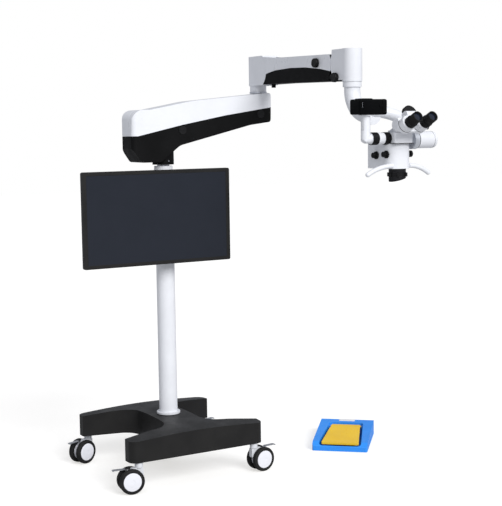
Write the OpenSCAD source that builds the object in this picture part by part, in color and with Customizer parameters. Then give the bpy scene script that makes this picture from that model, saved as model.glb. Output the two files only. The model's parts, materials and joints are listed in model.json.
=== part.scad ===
// Surgical microscope on a wheeled floor stand, with a monitor, two arms and a foot pedal.
// Millimetres. X runs along the first arm, minus Y faces the operator and Z is up.
// The origin is on the floor, under the middle of the column.

/* [Base] */
// Width of the base cover, left to right
base_w = 596; // [540:1:660]
// Depth of the base cover, front to back
base_d = 560; // [510:1:620]
// Radius of the plan corners of the base cover
base_corner_r = 32; // [12:1:50]
// Height of the base cover over the column's foot
base_h = 108; // [90:1:130]
// Radius of the crowned top of the base cover
crown_r = 3636; // [2500:1:6000]
// Width of a leg at its tip
leg_tip_w = 62; // [50:1:76]
// Width of a leg where it meets the middle
leg_root_w = 108; // [90:1:120]
// Half width of the middle of the base, between the cut-outs
web_half = 82; // [75:1:100]
// Radius of the inner corners of the cut-outs
notch_r = 80; // [40:1:100]
// Wall of the moulded covers
cover_wall = 3; // [2:0.1:4]
// Thickness of the steel frame plate inside the base
frame_t = 50; // [30:1:55]

/* [Column] */
// Diameter of the column
column_d = 76; // [70:1:84]
// Height of the top of the column above the floor
column_top = 1262; // [1200:1:1265]
// Diameter of the spindle that carries the first arm
spindle_d = 50; // [40:1:56]
// Diameter of the collar at the foot of the column
collar_d = 98; // [92:1:120]
// Height of the collar
collar_h = 10; // [6:1:20]

/* [Casters] */
// Diameter of the caster wheels
wheel_d = 100; // [90:1:110]
// Width of one wheel
wheel_w = 21; // [16:1:24]
// Gap between the two wheels of a caster
wheel_gap = 22; // [20:1:28]
// Distance of the axle behind the stem
trail = 34; // [28:1:40]
// Diameter of the caster stem
stem_d = 32; // [26:1:36]
// Length of stem that shows under the base
stem_h = 20; // [14:1:30]
// Distance of the stems from the ends of the base
stem_inset_x = 38; // [34:1:44]
// Distance of the stems from the front and back of the base
stem_inset_y = 20; // [16:1:30]

/* [Monitor] */
// Width of the monitor
monitor_w = 650; // [560:1:680]
// Height of the monitor
monitor_h = 380; // [330:1:384]
// Thickness of the monitor at its edge
monitor_t = 20; // [16:1:26]
// Height of the middle of the monitor above the floor
monitor_z = 1060; // [1000:1:1062]
// Distance from the column's middle to the monitor's face
monitor_out = 110; // [104:1:130]
// Distance of the monitor's middle to the left of the column
monitor_left = 77; // [0:1:90]
// Frame beside the picture
bezel_side = 17; // [10:1:24]
// Frame above and below the picture
bezel_top = 15; // [10:1:24]

/* [First arm] */
// Distance between the column and the elbow
arm1_reach = 457; // [420:1:500]
// Width of the first arm
arm1_w = 115; // [105:1:125]
// Height of the first arm over its whole rise
arm1_h = 290; // [280:1:300]
// Height of the arm's hub above the floor
arm1_z = 1268; // [1266:1:1290]
// Radius of the vertical corners of the first arm
arm1_corner_r = 22; // [10:1:30]
// Diameter of the hub under the arm
hub_d = 88; // [80:1:96]
// Diameter of the recessed brake knobs
brake_knob_d = 36; // [28:1:37]

/* [Spring arm] */
// Distance between the elbow and the front knuckle
arm2_reach = 698; // [640:1:740]
// Width of the spring arm
arm2_w = 76; // [72:1:84]
// Height of the top of the rear knuckle
knuckle_top = 1711; // [1705:1:1725]
// Height of the rear knuckle
knuckle_h = 122; // [116:1:126]
// Distance of the parallelogram pivots from the knuckles' axes
pivot_in = 54; // [50:1:56]
// Distance of the main pivots below the top of the rear knuckle
pivot_drop = 61; // [58:1:64]
// Distance of the lower pivots below the main pivots
link_drop = 47; // [44:1:50]
// Radius of the round cheeks of the rear knuckle
cheek_r = 75.5; // [73:0.5:77]

/* [Suspension] */
// Diameter of the suspension tube
drop_tube_d = 61; // [56:1:64]
// Height of the roll joint's axis above the floor
roll_z = 1456; // [1450:1:1460]
// Radius of the bend of the suspension tube
drop_bend_r = 94; // [70:1:96]
// Diameter of the roll joint's discs
roll_disc_d = 76; // [70:1:80]
// Diameter of the curved head arm
c_arm_d = 45; // [38:1:48]
// Distance from the front knuckle's axis to the optical axis
head_reach = 279; // [270:1:290]
// Height of the tilt axis above the floor
tilt_z = 1362; // [1358:1:1366]
// Diameter of the tilt hub
tilt_hub_d = 61; // [56:1:66]
// Diameter of the tilt flange
tilt_flange_d = 66; // [60:1:68]

/* [Head] */
// Width of the head body
head_w = 100; // [96:1:110]
// Depth of the head body
head_d = 151; // [140:1:156]
// Height of the head body
head_h = 90; // [84:1:94]
// Height of the top of the head body above the floor
head_top = 1351; // [1348:1:1354]
// Distance from the optical axis to the front of the head
head_front = 31; // [29:1:36]
// Radius of the front corners of the head
head_front_r = 40; // [20:1:44]
// Wall of the head body
head_wall = 4; // [3:0.5:5]
// Diameter of the objective
objective_d = 62; // [58:1:66]
// Diameter of the knobs at the side of the head
knob_d = 26; // [22:1:28]
// Sideways reach of a handle
handle_reach = 99; // [84:1:112]
// Drop of a handle over its reach
handle_drop = 29; // [15:1:34]
// Diameter of a handle
handle_d = 17; // [14:1:19]
// Size of the beam splitter, side to side and front to back
splitter_w = 80; // [76:1:84]
// Height of the beam splitter
splitter_h = 39; // [38:1:44]

/* [Camera] */
// Distance from the optical axis to the adapter's vertical tube
adapter_out = 138.5; // [132:0.5:150]
// Diameter of the adapter's vertical tube
adapter_d = 33.5; // [28:0.5:36]
// Diameter of the rings of the photo port
port_d = 43; // [38:1:46]
// Height of the photo port's axis above the floor
port_z = 1369.5; // [1368:0.5:1371]
// Width of the camera
camera_w = 117; // [106:1:124]
// Depth of the camera, front to back
camera_d = 72; // [60:1:78]
// Thickness of the camera, which lies on its back
camera_h = 50; // [44:1:60]
// Height of the camera's underside above the floor
camera_z = 1455; // [1446:1:1464]

/* [Binocular] */
// Angle of the eyepieces above level
eye_rise = 26; // [20:1:32]
// Distance between the eyepieces
eye_gap = 65; // [62:1:68]
// Distance between the axes of the prism drums
drum_gap = 62; // [60:1:70]
// Diameter of a prism drum
drum_d = 54; // [50:1:58]
// Diameter of an eyepiece cup
eyecup_d = 38.7; // [34:0.1:42]
// Diameter of the inclination joint's white ends
incline_d = 50; // [44:1:50]
// Distance of the inclination axis in front of the optical axis
incline_out = 44; // [42:1:50]
// Height of the inclination axis above the floor
incline_z = 1416; // [1415.5:0.5:1422]

/* [Pedal] */
// Width of the foot pedal
pedal_w = 242; // [220:1:270]
// Depth of the foot pedal, front to back
pedal_d = 334; // [300:1:360]
// Height of the pedal at its front
pedal_low = 35; // [32:1:40]
// Height of the pedal at its rear
pedal_high = 63; // [58:1:68]
// Place of the pedal's middle on the floor
pedal_at = [832, -83];
// Width of the treadle at its front
treadle_w = 164; // [140:1:170]
// Length of the treadle
treadle_l = 254; // [220:1:260]

/* [Hidden] */
$fn = 64;

// Overrun of every cut
over = 1;
// Radial clearance of a shaft in its bore
fit = 0.05;
// Gap between faces that turn past each other
gap = 0.3;
// Visible seam between two moulded halves
seam = 0.6;

// Base
rim_z = wheel_d + stem_h;
stem_x = base_w / 2 - stem_inset_x;
stem_y = base_d / 2 - stem_inset_y;
crown_z = rim_z + base_h;
frame_gap = 2;
foot_boss_d = 130;
socket_d = 20;
socket_h = 34;
column_foot_z = rim_z + 20;
column_bore_d = 56;

// Casters, in the order front left, front right, rear left, rear right
caster_sides = [[-1, -1], [1, -1], [-1, 1], [1, 1]];
trail_angles = [171, 6.4, 200.8, 15];
axle_d = 12;
axle_z = wheel_d / 2;
fork_w = wheel_gap - 2;
fork_boss_r = 22;
fork_back = 16;
tyre_t = 11;
hub_dish = 2;
brake_pivot = [trail + 10, 84];
brake_barrel_r = 5;
brake_pin_r = 2.5;
brake_ear_t = 4;
brake_reach = 61;
brake_rise = 12;
brake_t = 3;

// Monitor
clamp_h = 60;
clamp_wall = 13;
clamp_slit = 3;
swivel_pin_r = 6;
swivel_out = 62;
swivel_w = 24;
swivel_arm_t = 8;
tilt_pin_r = 5;
tilt_out = 70;
plate_ear = [12, 30];
plate_w = 120;
plate_t = 4;
housing_bulge = 8;
screen_t = 2;

// First arm: outline points as shares of its reach and of its rise
arm1_shares = [
  [-0.354, 0.234], [-0.267, 0.038], [-0.079, 0.038], [0.112, 0.265], [0.836, 0.538],
  [1.064, 0.583], [1.080, 1.007], [0.241, 0.886], [-0.175, 0.766], [-0.350, 0.766]
];
arm1_radii = [12, 16, 20, 60, 160, 16, 20, 400, 60, 48];
arm1_split_shares = [[-0.298, 0.403], [0.131, 0.550], [0.576, 0.679], [1.2, 0.823]];
arm1_split_low_share = 0.403;
beam_w = 50;
beam_shares = [[0, 0.285], [1, 0.628], [1, 0.92], [0, 0.593]];
rib_shares = [0.29, 0.74];
rib_t = 8;
rib_z_shares = [[0.455, 0.80], [0.56, 0.87]];
elbow_sleeve_r = 23;
elbow_pin_d = 36;
elbow_flange_d = 74;
elbow_flange_z = 1556;
elbow_flange_h = 8;
hub_wall = 5;
column_knob_at = [arm1_reach * 0.14, arm1_z + arm1_h * 0.481];
elbow_knob_at = [arm1_reach * 0.95, arm1_z + arm1_h * 0.697];
knob_pocket = 9;
knob_margin = 1.3;
knob_proud = 1.5;
knob_shaft_r = 4;

// Spring arm: heights from the knuckle, lengths from the elbow's axis
knuckle_z = knuckle_top - knuckle_h;
pivot_z = knuckle_top - pivot_drop;
link_z = pivot_z - link_drop;
front_pivot = arm2_reach - pivot_in;
knuckle_d = 78;
neck_d = 69;
neck_z = elbow_flange_z + elbow_flange_h + gap;
knuckle_pocket_half = 29;
knuckle_roof = 8;
tongue = [9.2, 16.4];
pivot_pin_r = 7;
link_pin_r = 5;
spring_drop = 22;
spring_pin_r = 4;
frame_plate = [17, 22];
frame_half_h = 25;
link_plate = [23.5, 28.5];
link_half_h = 5;
web_ends_share = [0.21, 0.81];
web_t = 8;
shell_start_gap = 1;
shell_wall = 3;
shell_ends = [600, 609, 596];
shell_top_shares = [[0.135, 0.967], [0.292, 0.877], [0.869, 0.811]];
shell_bottom_share = 0.02;
cover_line_shares = [
  [0.12, 0.24], [0.20, 0.385], [0.29, 0.459], [0.457, 0.492], [0.616, 0.467], [0.77, 0.377], [0.9, 0.25]
];
slot_half = 25;
slot_ends_share = [0.1, 0.28];
spring_eye_share = 0.687;
spring_eye_rise = -10;
gas_d = 22;
gas_start = 27;
gas_share = 0.52;
gas_rod_d = 10;
gas_eye_r = 10;
gas_eye_play = 2;
gas_eye_w = 14;
gas_tail_w = 16;
block_back = [26, 31, 25];
block_top = 10;
block_floor = 7;
front_cheek_r = 45;
front_knuckle_d = 76;
front_knuckle_top = knuckle_top - 7;
front_knuckle_z = knuckle_z - 8;
balance_knob_at = [515, 1659];
lock_knob_at = [647, 1598];
side_knob_r = 18;
side_knob_t = 16;
stop_knob = [118, 9, 14];

// Suspension and head arm, from the front knuckle's axis
step_d = 71;
step_h = 20;
drop_pin_d = 36;
drop_pin_h = 60;
roll_out = 98;
roll_hub_h = 34;
roll_disc_t = 10;
roll_pin_r = 15;
roll_pin_h = 30;
c_turn_r = 104;
c_side = 124;
c_level = roll_out + c_arm_d / 2 + over;
c_rise = 11;
c_slope = atan((roll_z + c_rise - tilt_z) / (head_reach - c_level));
hub_start = 80;
hub_end = 149;
tilt_shaft_r = 12;
tension_h = 12;
tension_groove = 1;

// Head, from the optical axis
head_z = head_top - head_h;
head_rear = head_d - head_front;
head_rear_r = 15;
changer_z = head_top - 38;
changer_y = -6;
changer_r = 17;
changer_half = 24;
changer_bore_r = 7;
changer_shaft_r = 6;
knob_base_t = 7;
knob_tip_d = 19;
knob_tip_t = 12;
filter_at = 55;
filter_z = head_top - 42;
filter_shaft_r = 4;
light_bore_r = 18;
barrel_spigot_r = 26;
barrel_bore_r = 24;
barrel_z = head_z - 47;
barrel_slant = 16;
ring_z = head_z - 28;
ring_h = 14;
ring_lug = 6.5;
ring_lug_w = 9;
lens_r = 22;
cell_h = 14;
cell_z = head_z - 26;
handle_root = [36, 20, 11];
splitter_z = head_top;
splitter_top = head_top + splitter_h;
flange_out = 9;
bracket_w = 36;
bracket_h = 34;

// Camera and photo port
port_rings = [25, 26.5, 26.5];
port_groove = 1;
adapter_chamfer = 12;
mount_h = 5;
mount_d = 52;
camera_r = 8;
camera_shift = 9;
finder_w = 34;
finder_h = 3;

// Binocular, along the eyepieces' axis from the inclination axis
mount_disc_d = 66;
mount_disc_h = 7;
incline_pin_r = 7;
incline_half = 45;
incline_knuckle_half = 20;
incline_knuckle_r = 23;
incline_knuckle_gap = 0.5;
back_plate = [26, 37.7];
back_plate_r = 27;
drum_low = 20;
hood_half = 24;
hood_top = 30;
hood_low = 8;
hood_out = 58;
disc_knob_at = [19, 36];
disc_knob = [13, 27];
drum_h = 28;
drum_spigot_r = 15;
drum_spigot_h = 8;
eye_low = 25;
eye_start = 66.3;
eye_ring_r = 21;
eye_ring_h = 20;
eye_end = 120.3;
eye_spigot_r = 12;
eye_spigot_h = 12;
eye_lens_r = 13;
eye_dish = 9;
pd_shaft_r = 3;
pd_knob_r = 9.5;
pd_at = [32, 24];
pd_knob_t = 13;

// Pedal, in its own frame
pedal_turn = -41;
pedal_r = 8;
pedal_edge = 8;
pedal_floor = 8;
pedal_margin = 12;
pedal_lip = 24;
pedal_slope = atan((pedal_high - pedal_low) / pedal_d);
treadle_t = 9;
treadle_sink = 1;
treadle_side = 4;
treadle_crease = 27;
crease_drop = 2.5;
treadle_back_w = 128;
treadle_hinge_r = 4;
treadle_hinge_in = 10;
hinge_post_w = 12;
treadle_front = 14;

// Direction of the line from p to q
function heading(p, q) = (q - p) / norm(q - p);

// One corner of an outline, rounded to radius r by an arc
function corner(before, here, after, r, steps) =
  let (
    a = heading(here, before),
    b = heading(here, after),
    half = acos(a * b) / 2,
    middle = here + (a + b) / norm(a + b) * r / sin(half),
    first = here + a * r / tan(half) - middle,
    last = here + b * r / tan(half) - middle,
    sweep = 180 - 2 * half
  )
  r == 0 ? [here]
  : [
      for (i = [0:steps])
        middle + (sin(sweep * (1 - i / steps)) * first + sin(sweep * i / steps) * last) / sin(sweep)
    ];

// An outline with its corners rounded
function rounded(points, radii, steps = 6) =
  let (n = len(points))
  [for (i = [0:n - 1]) each corner(points[(i + n - 1) % n], points[i], points[(i + 1) % n], radii[i], steps)];

// An anticlockwise outline moved inwards by a wall
function inset(points, wall) =
  let (n = len(points))
  [
    for (i = [0:n - 1])
      let (
        a = heading(points[(i + n - 1) % n], points[i]),
        b = heading(points[i], points[(i + 1) % n]),
        na = [-a.y, a.x],
        nb = [-b.y, b.x]
      )
      points[i] + (na + nb) * wall / (1 + na * nb)
  ];

function smaller(radii, wall) = [for (r = radii) max(r - wall, 0)];

function scaled(shares, length, height, rise) = [for (s = shares) [s.x * length, rise + s.y * height]];

// A rectangle with true round corners
module round_rect(w, d, r) {
  square([w - 2 * r, d], center = true);
  square([w, d - 2 * r], center = true);
  for (x = [-1, 1])
    for (y = [-1, 1])
      translate([x * (w / 2 - r), y * (d / 2 - r)]) circle(r);
}

// An upright plate cut to an outline of lengths and heights
module side_plate(points, width) {
  rotate([90, 0, 0]) linear_extrude(width, center = true) polygon(points);
}

// A round bar across the arm, from one side to the other
module cross_pin(at, r, from, to) {
  translate([at.x, from, at.y]) rotate([-90, 0, 0]) cylinder(h = to - from, r = r);
}

// An upright plate in the plane across X
module side_plate_y(points, width) {
  rotate([90, 0, 90]) linear_extrude(width, center = true) polygon(points);
}

// A round bar across X, as long on both sides
module cross_x_pin(r, half) {
  rotate([0, 90, 0]) cylinder(h = 2 * half, r = r, center = true);
}

// The spring arm's frame: X runs along it from the elbow's axis
module along_spring_arm() {
  translate([arm1_reach, 0, 0]) rotate([0, 0, -90]) children();
}

module at_front_knuckle() {
  translate([arm1_reach, -arm2_reach, 0]) children();
}

module at_optics() {
  translate([arm1_reach, -arm2_reach - head_reach, 0]) children();
}

// The binocular's frame: minus Y runs along the eyepieces
module at_binocular() {
  at_optics() translate([0, -incline_out, incline_z]) rotate([-eye_rise, 0, 0]) children();
}

module toward_eye(x, along, down) {
  translate([x, -along, -down]) rotate([90, 0, 0]) children();
}

module at_caster(i) {
  translate([caster_sides[i].x * stem_x, caster_sides[i].y * stem_y, 0])
    rotate([0, 0, trail_angles[i]]) children();
}

module at_pedal() {
  translate([pedal_at.x, pedal_at.y, 0]) rotate([0, 0, pedal_turn]) children();
}

// Plan of the base, drawn in from its edge by a wall
module base_plan(wall) {
  tip = base_d / 2 - leg_tip_w + wall;
  root = base_d / 2 - leg_root_w + wall;
  web = web_half - wall;
  difference() {
    round_rect(base_w - 2 * wall, base_d - 2 * wall, base_corner_r - wall);
    for (side = [0, 1])
      mirror([side, 0])
        polygon(rounded(
          [[web, -root], [base_w / 2 + over, -tip], [base_w / 2 + over, tip], [web, root]],
          [notch_r + wall, 0, 0, notch_r + wall], 10));
  }
}

module base_shape(wall, top) {
  intersection() {
    translate([0, 0, rim_z]) linear_extrude(base_h) base_plan(wall);
    translate([0, 0, top - crown_r]) sphere(crown_r, $fn = 128);
  }
}

module base_cover() {
  color("#17181a")
    difference() {
      base_shape(0, crown_z);
      difference() {
        translate([0, 0, -over]) base_shape(cover_wall, crown_z - cover_wall + over);
        translate([0, 0, crown_z - cover_wall - over]) cylinder(h = base_h, d = foot_boss_d);
      }
      translate([0, 0, rim_z]) cylinder(h = base_h + over, d = column_d + 2 * seam);
    }
}

module base_frame() {
  color("dimgray")
    difference() {
      union() {
        translate([0, 0, rim_z + frame_gap]) linear_extrude(frame_t) base_plan(cover_wall + gap);
        translate([0, 0, rim_z + frame_gap])
          cylinder(h = crown_z - cover_wall - over - gap - rim_z - frame_gap, d = foot_boss_d);
      }
      translate([0, 0, column_foot_z]) cylinder(h = base_h, d = column_d + 2 * fit);
      for (s = caster_sides)
        translate([s.x * stem_x, s.y * stem_y, rim_z]) cylinder(h = socket_h, d = socket_d + 2 * fit);
    }
}

module column_collar() {
  color("silver")
    translate([0, 0, crown_z])
      difference() {
        cylinder(h = collar_h, d = collar_d);
        translate([0, 0, -over]) cylinder(h = collar_h + 2 * over, d = column_d + 2 * fit);
      }
}

module column() {
  color("white")
    difference() {
      union() {
        translate([0, 0, column_foot_z]) cylinder(h = column_top - column_foot_z, d = column_d);
        translate([0, 0, column_top - over])
          cylinder(h = arm1_z + arm1_h * 0.45 - column_top, d = spindle_d);
      }
      translate([0, 0, column_foot_z - over])
        cylinder(h = column_top - column_foot_z - column_bore_d / 2, d = column_bore_d);
    }
}

// Housing between the two wheels, with its stem
module caster_fork(i) {
  top = wheel_d - gap;
  color("gainsboro")
    at_caster(i)
      difference() {
        union() {
          translate([0, 0, wheel_d - gap]) cylinder(h = stem_h, d = stem_d);
          translate([0, 0, wheel_d]) cylinder(h = stem_h + socket_h - over, d = socket_d);
          side_plate(rounded(
            [
              [-fork_back, top], [-fork_back, axle_z + tyre_t], [trail - fork_boss_r, axle_z - over],
              [trail, axle_z], [trail + fork_boss_r - over, axle_z + over],
              [brake_pivot.x - brake_barrel_r, top - fork_back],
              [brake_pivot.x - 3 * brake_barrel_r, top]
            ],
            [6, 10, 0, 0, 0, 6, 6]), fork_w);
          cross_pin([trail, axle_z], fork_boss_r, -fork_w / 2, fork_w / 2);
          cross_pin(brake_pivot, brake_barrel_r + brake_pin_r, -fork_w / 2, fork_w / 2);
        }
        cross_pin([trail, axle_z], axle_d / 2 + fit, -fork_w, fork_w);
        cross_pin(brake_pivot, brake_pin_r + fit, -fork_w, fork_w);
        cross_pin(brake_pivot, brake_barrel_r + brake_pin_r + gap,
          brake_ear_t - fork_w / 2, fork_w / 2 - brake_ear_t);
      }
}

// Two tyres, two hubs and the axle that joins them
module caster_wheels(i) {
  outer = wheel_gap / 2 + wheel_w;
  at_caster(i) {
    for (side = [0, 1])
      mirror([0, side, 0])
        translate([trail, 0, axle_z])
          rotate([-90, 0, 0]) {
            color("#202124")
              rotate_extrude(angle = 360)
                polygon(rounded(
                  [
                    [wheel_d / 2 - tyre_t, wheel_gap / 2], [wheel_d / 2, wheel_gap / 2],
                    [wheel_d / 2, outer], [wheel_d / 2 - tyre_t, outer]
                  ],
                  [0, 5, 5, 0], 4));
            color("lightgray")
              difference() {
                translate([0, 0, wheel_gap / 2]) cylinder(h = wheel_w - hub_dish / 2, r = wheel_d / 2 - tyre_t);
                translate([0, 0, outer - hub_dish])
                  difference() {
                    cylinder(h = wheel_w, r = wheel_d / 2 - tyre_t - hub_dish);
                    cylinder(h = wheel_w, r = axle_d);
                  }
                translate([0, 0, -over]) cylinder(h = outer + 2 * over, d = axle_d);
              }
          }
    color("silver") cross_pin([trail, axle_z], axle_d / 2, -outer, outer);
  }
}

module caster_brake(i) {
  half = fork_w / 2 - brake_ear_t - gap;
  color("silver")
    at_caster(i)
      translate([brake_pivot.x, 0, brake_pivot.y]) {
        cross_pin([0, 0], brake_barrel_r, -half, half);
        cross_pin([0, 0], brake_pin_r, -fork_w / 2, fork_w / 2);
        side_plate(
          [
            [0, 0], [brake_barrel_r, 0], [brake_rise + brake_t, brake_rise],
            [brake_rise, brake_rise + brake_t], [0, brake_barrel_r]
          ], 2 * half);
        side_plate(rounded(
          [
            [brake_rise, brake_rise], [brake_reach - brake_t, brake_rise], [brake_reach, brake_rise - brake_t],
            [brake_reach + brake_t, brake_rise], [brake_reach, brake_rise + brake_t],
            [brake_rise, brake_rise + brake_t]
          ],
          [0, 2, 0, 0, 4, 0], 4), fork_w - brake_pin_r);
      }
}

module monitor_clamp() {
  r = column_d / 2 + clamp_wall;
  color("#2a2b2e")
    translate([0, 0, monitor_z - clamp_h / 2])
      difference() {
        union() {
          cylinder(h = clamp_h, r = r);
          translate([-swivel_w / 2, -swivel_out, 0]) cube([swivel_w, swivel_out, clamp_h]);
          translate([0, -swivel_out, 0]) cylinder(h = clamp_h, d = swivel_w);
          translate([-swivel_w / 2, 0, clamp_h / 4]) cube([swivel_w, r + clamp_wall, clamp_h / 2]);
        }
        translate([0, 0, -over]) cylinder(h = clamp_h + 2 * over, d = column_d + 2 * fit);
        translate([-clamp_slit / 2, 0, -over]) cube([clamp_slit, 2 * r, clamp_h + 2 * over]);
        translate([0, -swivel_out, -over]) cylinder(h = clamp_h + 2 * over, r = swivel_pin_r + fit);
        translate([-swivel_w, -swivel_out - swivel_w, clamp_h / 4])
          cube([2 * swivel_w, swivel_w * 1.54, clamp_h / 2]);
      }
}

// Swivel arm: a hub on the clamp's pin, and a boss with the pin that the tilt plate turns on
module monitor_swivel() {
  h = clamp_h / 2 - 2 * gap;
  boss_x = plate_ear[1] + gap - monitor_left;
  color("#2a2b2e")
    translate([0, 0, monitor_z]) {
      translate([0, -swivel_out, 0]) cylinder(h = h, d = swivel_w - 2 * seam, center = true);
      translate([boss_x, -tilt_out, -h / 2]) cube([-boss_x, swivel_arm_t, h]);
      translate([boss_x, -tilt_out, 0])
        rotate([0, 90, 0]) cylinder(h = swivel_w, d = swivel_w - 8 * seam);
      translate([-monitor_left - plate_ear[1], -tilt_out, 0])
        rotate([0, 90, 0]) cylinder(h = 2 * plate_ear[1] + over, r = tilt_pin_r);
      translate([0, -swivel_out, 0]) cylinder(h = clamp_h, r = swivel_pin_r, center = true);
    }
}

module monitor_tilt_plate() {
  back = monitor_out - monitor_t - housing_bulge;
  ear_w = plate_ear[1] - plate_ear[0];
  ear_d = swivel_w - 2 * seam;
  color("#2a2b2e")
    translate([-monitor_left, 0, monitor_z])
      difference() {
        union() {
          translate([-plate_w / 2, -back - plate_t, -plate_w / 2]) cube([plate_w, plate_t, plate_w]);
          for (side = [0, 1])
            mirror([side, 0, 0]) {
              translate([plate_ear[0], -back - over, -ear_d / 2]) cube([ear_w, back - tilt_out + over, ear_d]);
              intersection() {
                translate([plate_ear[0], -tilt_out, 0]) rotate([0, 90, 0]) cylinder(h = ear_w, d = ear_d);
                translate([0, -back - over, -ear_d]) cube([ear_d * 2, 2 * ear_d, 2 * ear_d]);
              }
            }
        }
        translate([-plate_w, -tilt_out, 0]) rotate([0, 90, 0]) cylinder(h = 2 * plate_w, r = tilt_pin_r + fit);
      }
}

module monitor_housing() {
  back = monitor_out - monitor_t;
  color("#1b1c1f")
    translate([-monitor_left, -monitor_out, monitor_z])
      difference() {
        union() {
          rotate([-90, 0, 0]) linear_extrude(monitor_t) round_rect(monitor_w, monitor_h, bezel_top / 2);
          translate([0, monitor_t - over, 0])
            rotate([-90, 0, 0]) linear_extrude(housing_bulge - plate_t + over)
              round_rect(monitor_w * 0.6, monitor_h * 0.6, bezel_top);
        }
        translate([bezel_side - monitor_w / 2, -over, bezel_top - monitor_h / 2])
          cube([monitor_w - 2 * bezel_side, screen_t + over, monitor_h - 2 * bezel_top]);
      }
}

module monitor_screen() {
  color("#20242b")
    translate([-monitor_left, screen_t - monitor_out, monitor_z])
      rotate([90, 0, 0])
        linear_extrude(screen_t / 2)
          square([monitor_w - 2 * bezel_side, monitor_h - 2 * bezel_top], center = true);
}

// The first arm's outer form, drawn in by a wall
module arm1_form(wall) {
  points = scaled(arm1_shares, arm1_reach, arm1_h, arm1_z);
  tail = arm1_shares[0].x * arm1_reach;
  nose = arm1_shares[6].x * arm1_reach;
  intersection() {
    side_plate(rounded(inset(points, wall), smaller(arm1_radii, wall)), arm1_w);
    translate([(tail + nose) / 2, 0, 0])
      linear_extrude(2 * arm1_z)
        round_rect(nose - tail - 2 * wall, arm1_w - 2 * wall, arm1_corner_r - wall);
  }
}

// Everything above the seam of the first arm's covers
module above_seam(rise) {
  line = scaled(arm1_split_shares, arm1_reach, arm1_h, arm1_z + rise);
  left = [-arm1_reach, arm1_z + rise + arm1_split_low_share * arm1_h];
  right = line[3];
  side_plate(concat([left], line, [[right.x, 2 * arm1_z], [left.x, 2 * arm1_z]]), 2 * arm1_w);
}

module arm1_shell() {
  difference() {
    arm1_form(0);
    arm1_form(cover_wall);
  }
}

module arm_top_cover() {
  color("white")
    difference() {
      intersection() {
        arm1_shell();
        above_seam(seam / 2);
      }
      translate([arm1_reach, 0, arm1_z]) cylinder(h = 2 * arm1_h, r = elbow_sleeve_r + seam);
      translate([arm1_reach, 0, elbow_flange_z]) cylinder(h = arm1_h, d = elbow_flange_d + 2 * seam);
    }
}

module knob_pocket_at(at, r, depth) {
  translate([at.x, -arm1_w / 2 - over, at.y]) rotate([-90, 0, 0]) cylinder(h = depth + over, r = r);
}

module arm_bottom_cover() {
  pocket_r = brake_knob_d / 2 + knob_margin;
  color("#17181a")
    difference() {
      union() {
        difference() {
          intersection() {
            arm1_form(0);
            difference() {
              translate([0, 0, arm1_z]) cube([3 * arm1_reach, 2 * arm1_w, 2 * arm1_h], center = true);
              above_seam(-seam / 2);
            }
          }
          arm1_form(cover_wall);
        }
        translate([0, 0, arm1_z]) cylinder(h = arm1_h * 0.3, d = hub_d);
        intersection() {
          for (at = [column_knob_at, elbow_knob_at])
            knob_pocket_at(at, pocket_r + cover_wall / 2, knob_pocket + cover_wall + over);
          difference() {
            arm1_form(0);
            above_seam(-seam / 2);
          }
        }
      }
      translate([0, 0, arm1_z - over]) cylinder(h = arm1_h * 0.3 + 2 * over, d = hub_d - 2 * hub_wall);
      for (at = [column_knob_at, elbow_knob_at]) {
        knob_pocket_at(at, pocket_r, knob_pocket);
        knob_pocket_at(at, knob_shaft_r + seam, 2 * knob_pocket);
      }
    }
}

module arm_beam() {
  hub_r = hub_d / 2 - hub_wall - seam;
  sleeve_z = arm1_z + arm1_h * 0.64;
  color("gray")
    difference() {
      union() {
        side_plate(scaled(beam_shares, arm1_reach, arm1_h, arm1_z), beam_w);
        translate([0, 0, arm1_z + over]) cylinder(h = arm1_h * 0.58, r = hub_r);
        translate([arm1_reach, 0, sleeve_z]) cylinder(h = elbow_flange_z - sleeve_z + over, r = elbow_sleeve_r);
        translate([arm1_reach, 0, elbow_flange_z + over / 2])
          cylinder(h = elbow_flange_h - over / 2, d = elbow_flange_d);
        translate([arm1_reach, 0, elbow_flange_z]) cylinder(h = knuckle_h * 0.72, d = elbow_pin_d);
        for (k = [0, 1])
          translate([
            rib_shares[k] * arm1_reach, cover_wall - arm1_w / 2,
            arm1_z + rib_z_shares[k][0] * arm1_h
          ])
            cube([rib_t, arm1_w - 2 * cover_wall, (rib_z_shares[k][1] - rib_z_shares[k][0]) * arm1_h]);
      }
      translate([0, 0, arm1_z - over]) cylinder(h = arm1_h * 0.5, d = spindle_d + 2 * fit);
      for (at = [column_knob_at, elbow_knob_at])
        cross_pin(at, knob_shaft_r + fit, -arm1_w / 2, -beam_w / 2 + knob_pocket);
    }
}

// A round knob sunk in the side of the first arm
module arm_knob(at) {
  color("#26272a")
    translate([at.x, -arm1_w / 2, at.y])
      rotate([-90, 0, 0]) {
        translate([0, 0, -knob_proud]) cylinder(h = knob_pocket + knob_proud - gap, d = brake_knob_d);
        translate([0, 0, -knob_proud])
          cylinder(h = (arm1_w - beam_w) / 2 + knob_pocket - gap, r = knob_shaft_r);
        translate([-brake_knob_d / 2 + over, -over, -2 * knob_proud])
          cube([brake_knob_d - 2 * over, 2 * over, 2 * knob_proud]);
      }
}

module column_brake_knob() {
  arm_knob(column_knob_at);
}

module elbow_brake_knob() {
  arm_knob(elbow_knob_at);
}

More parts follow.
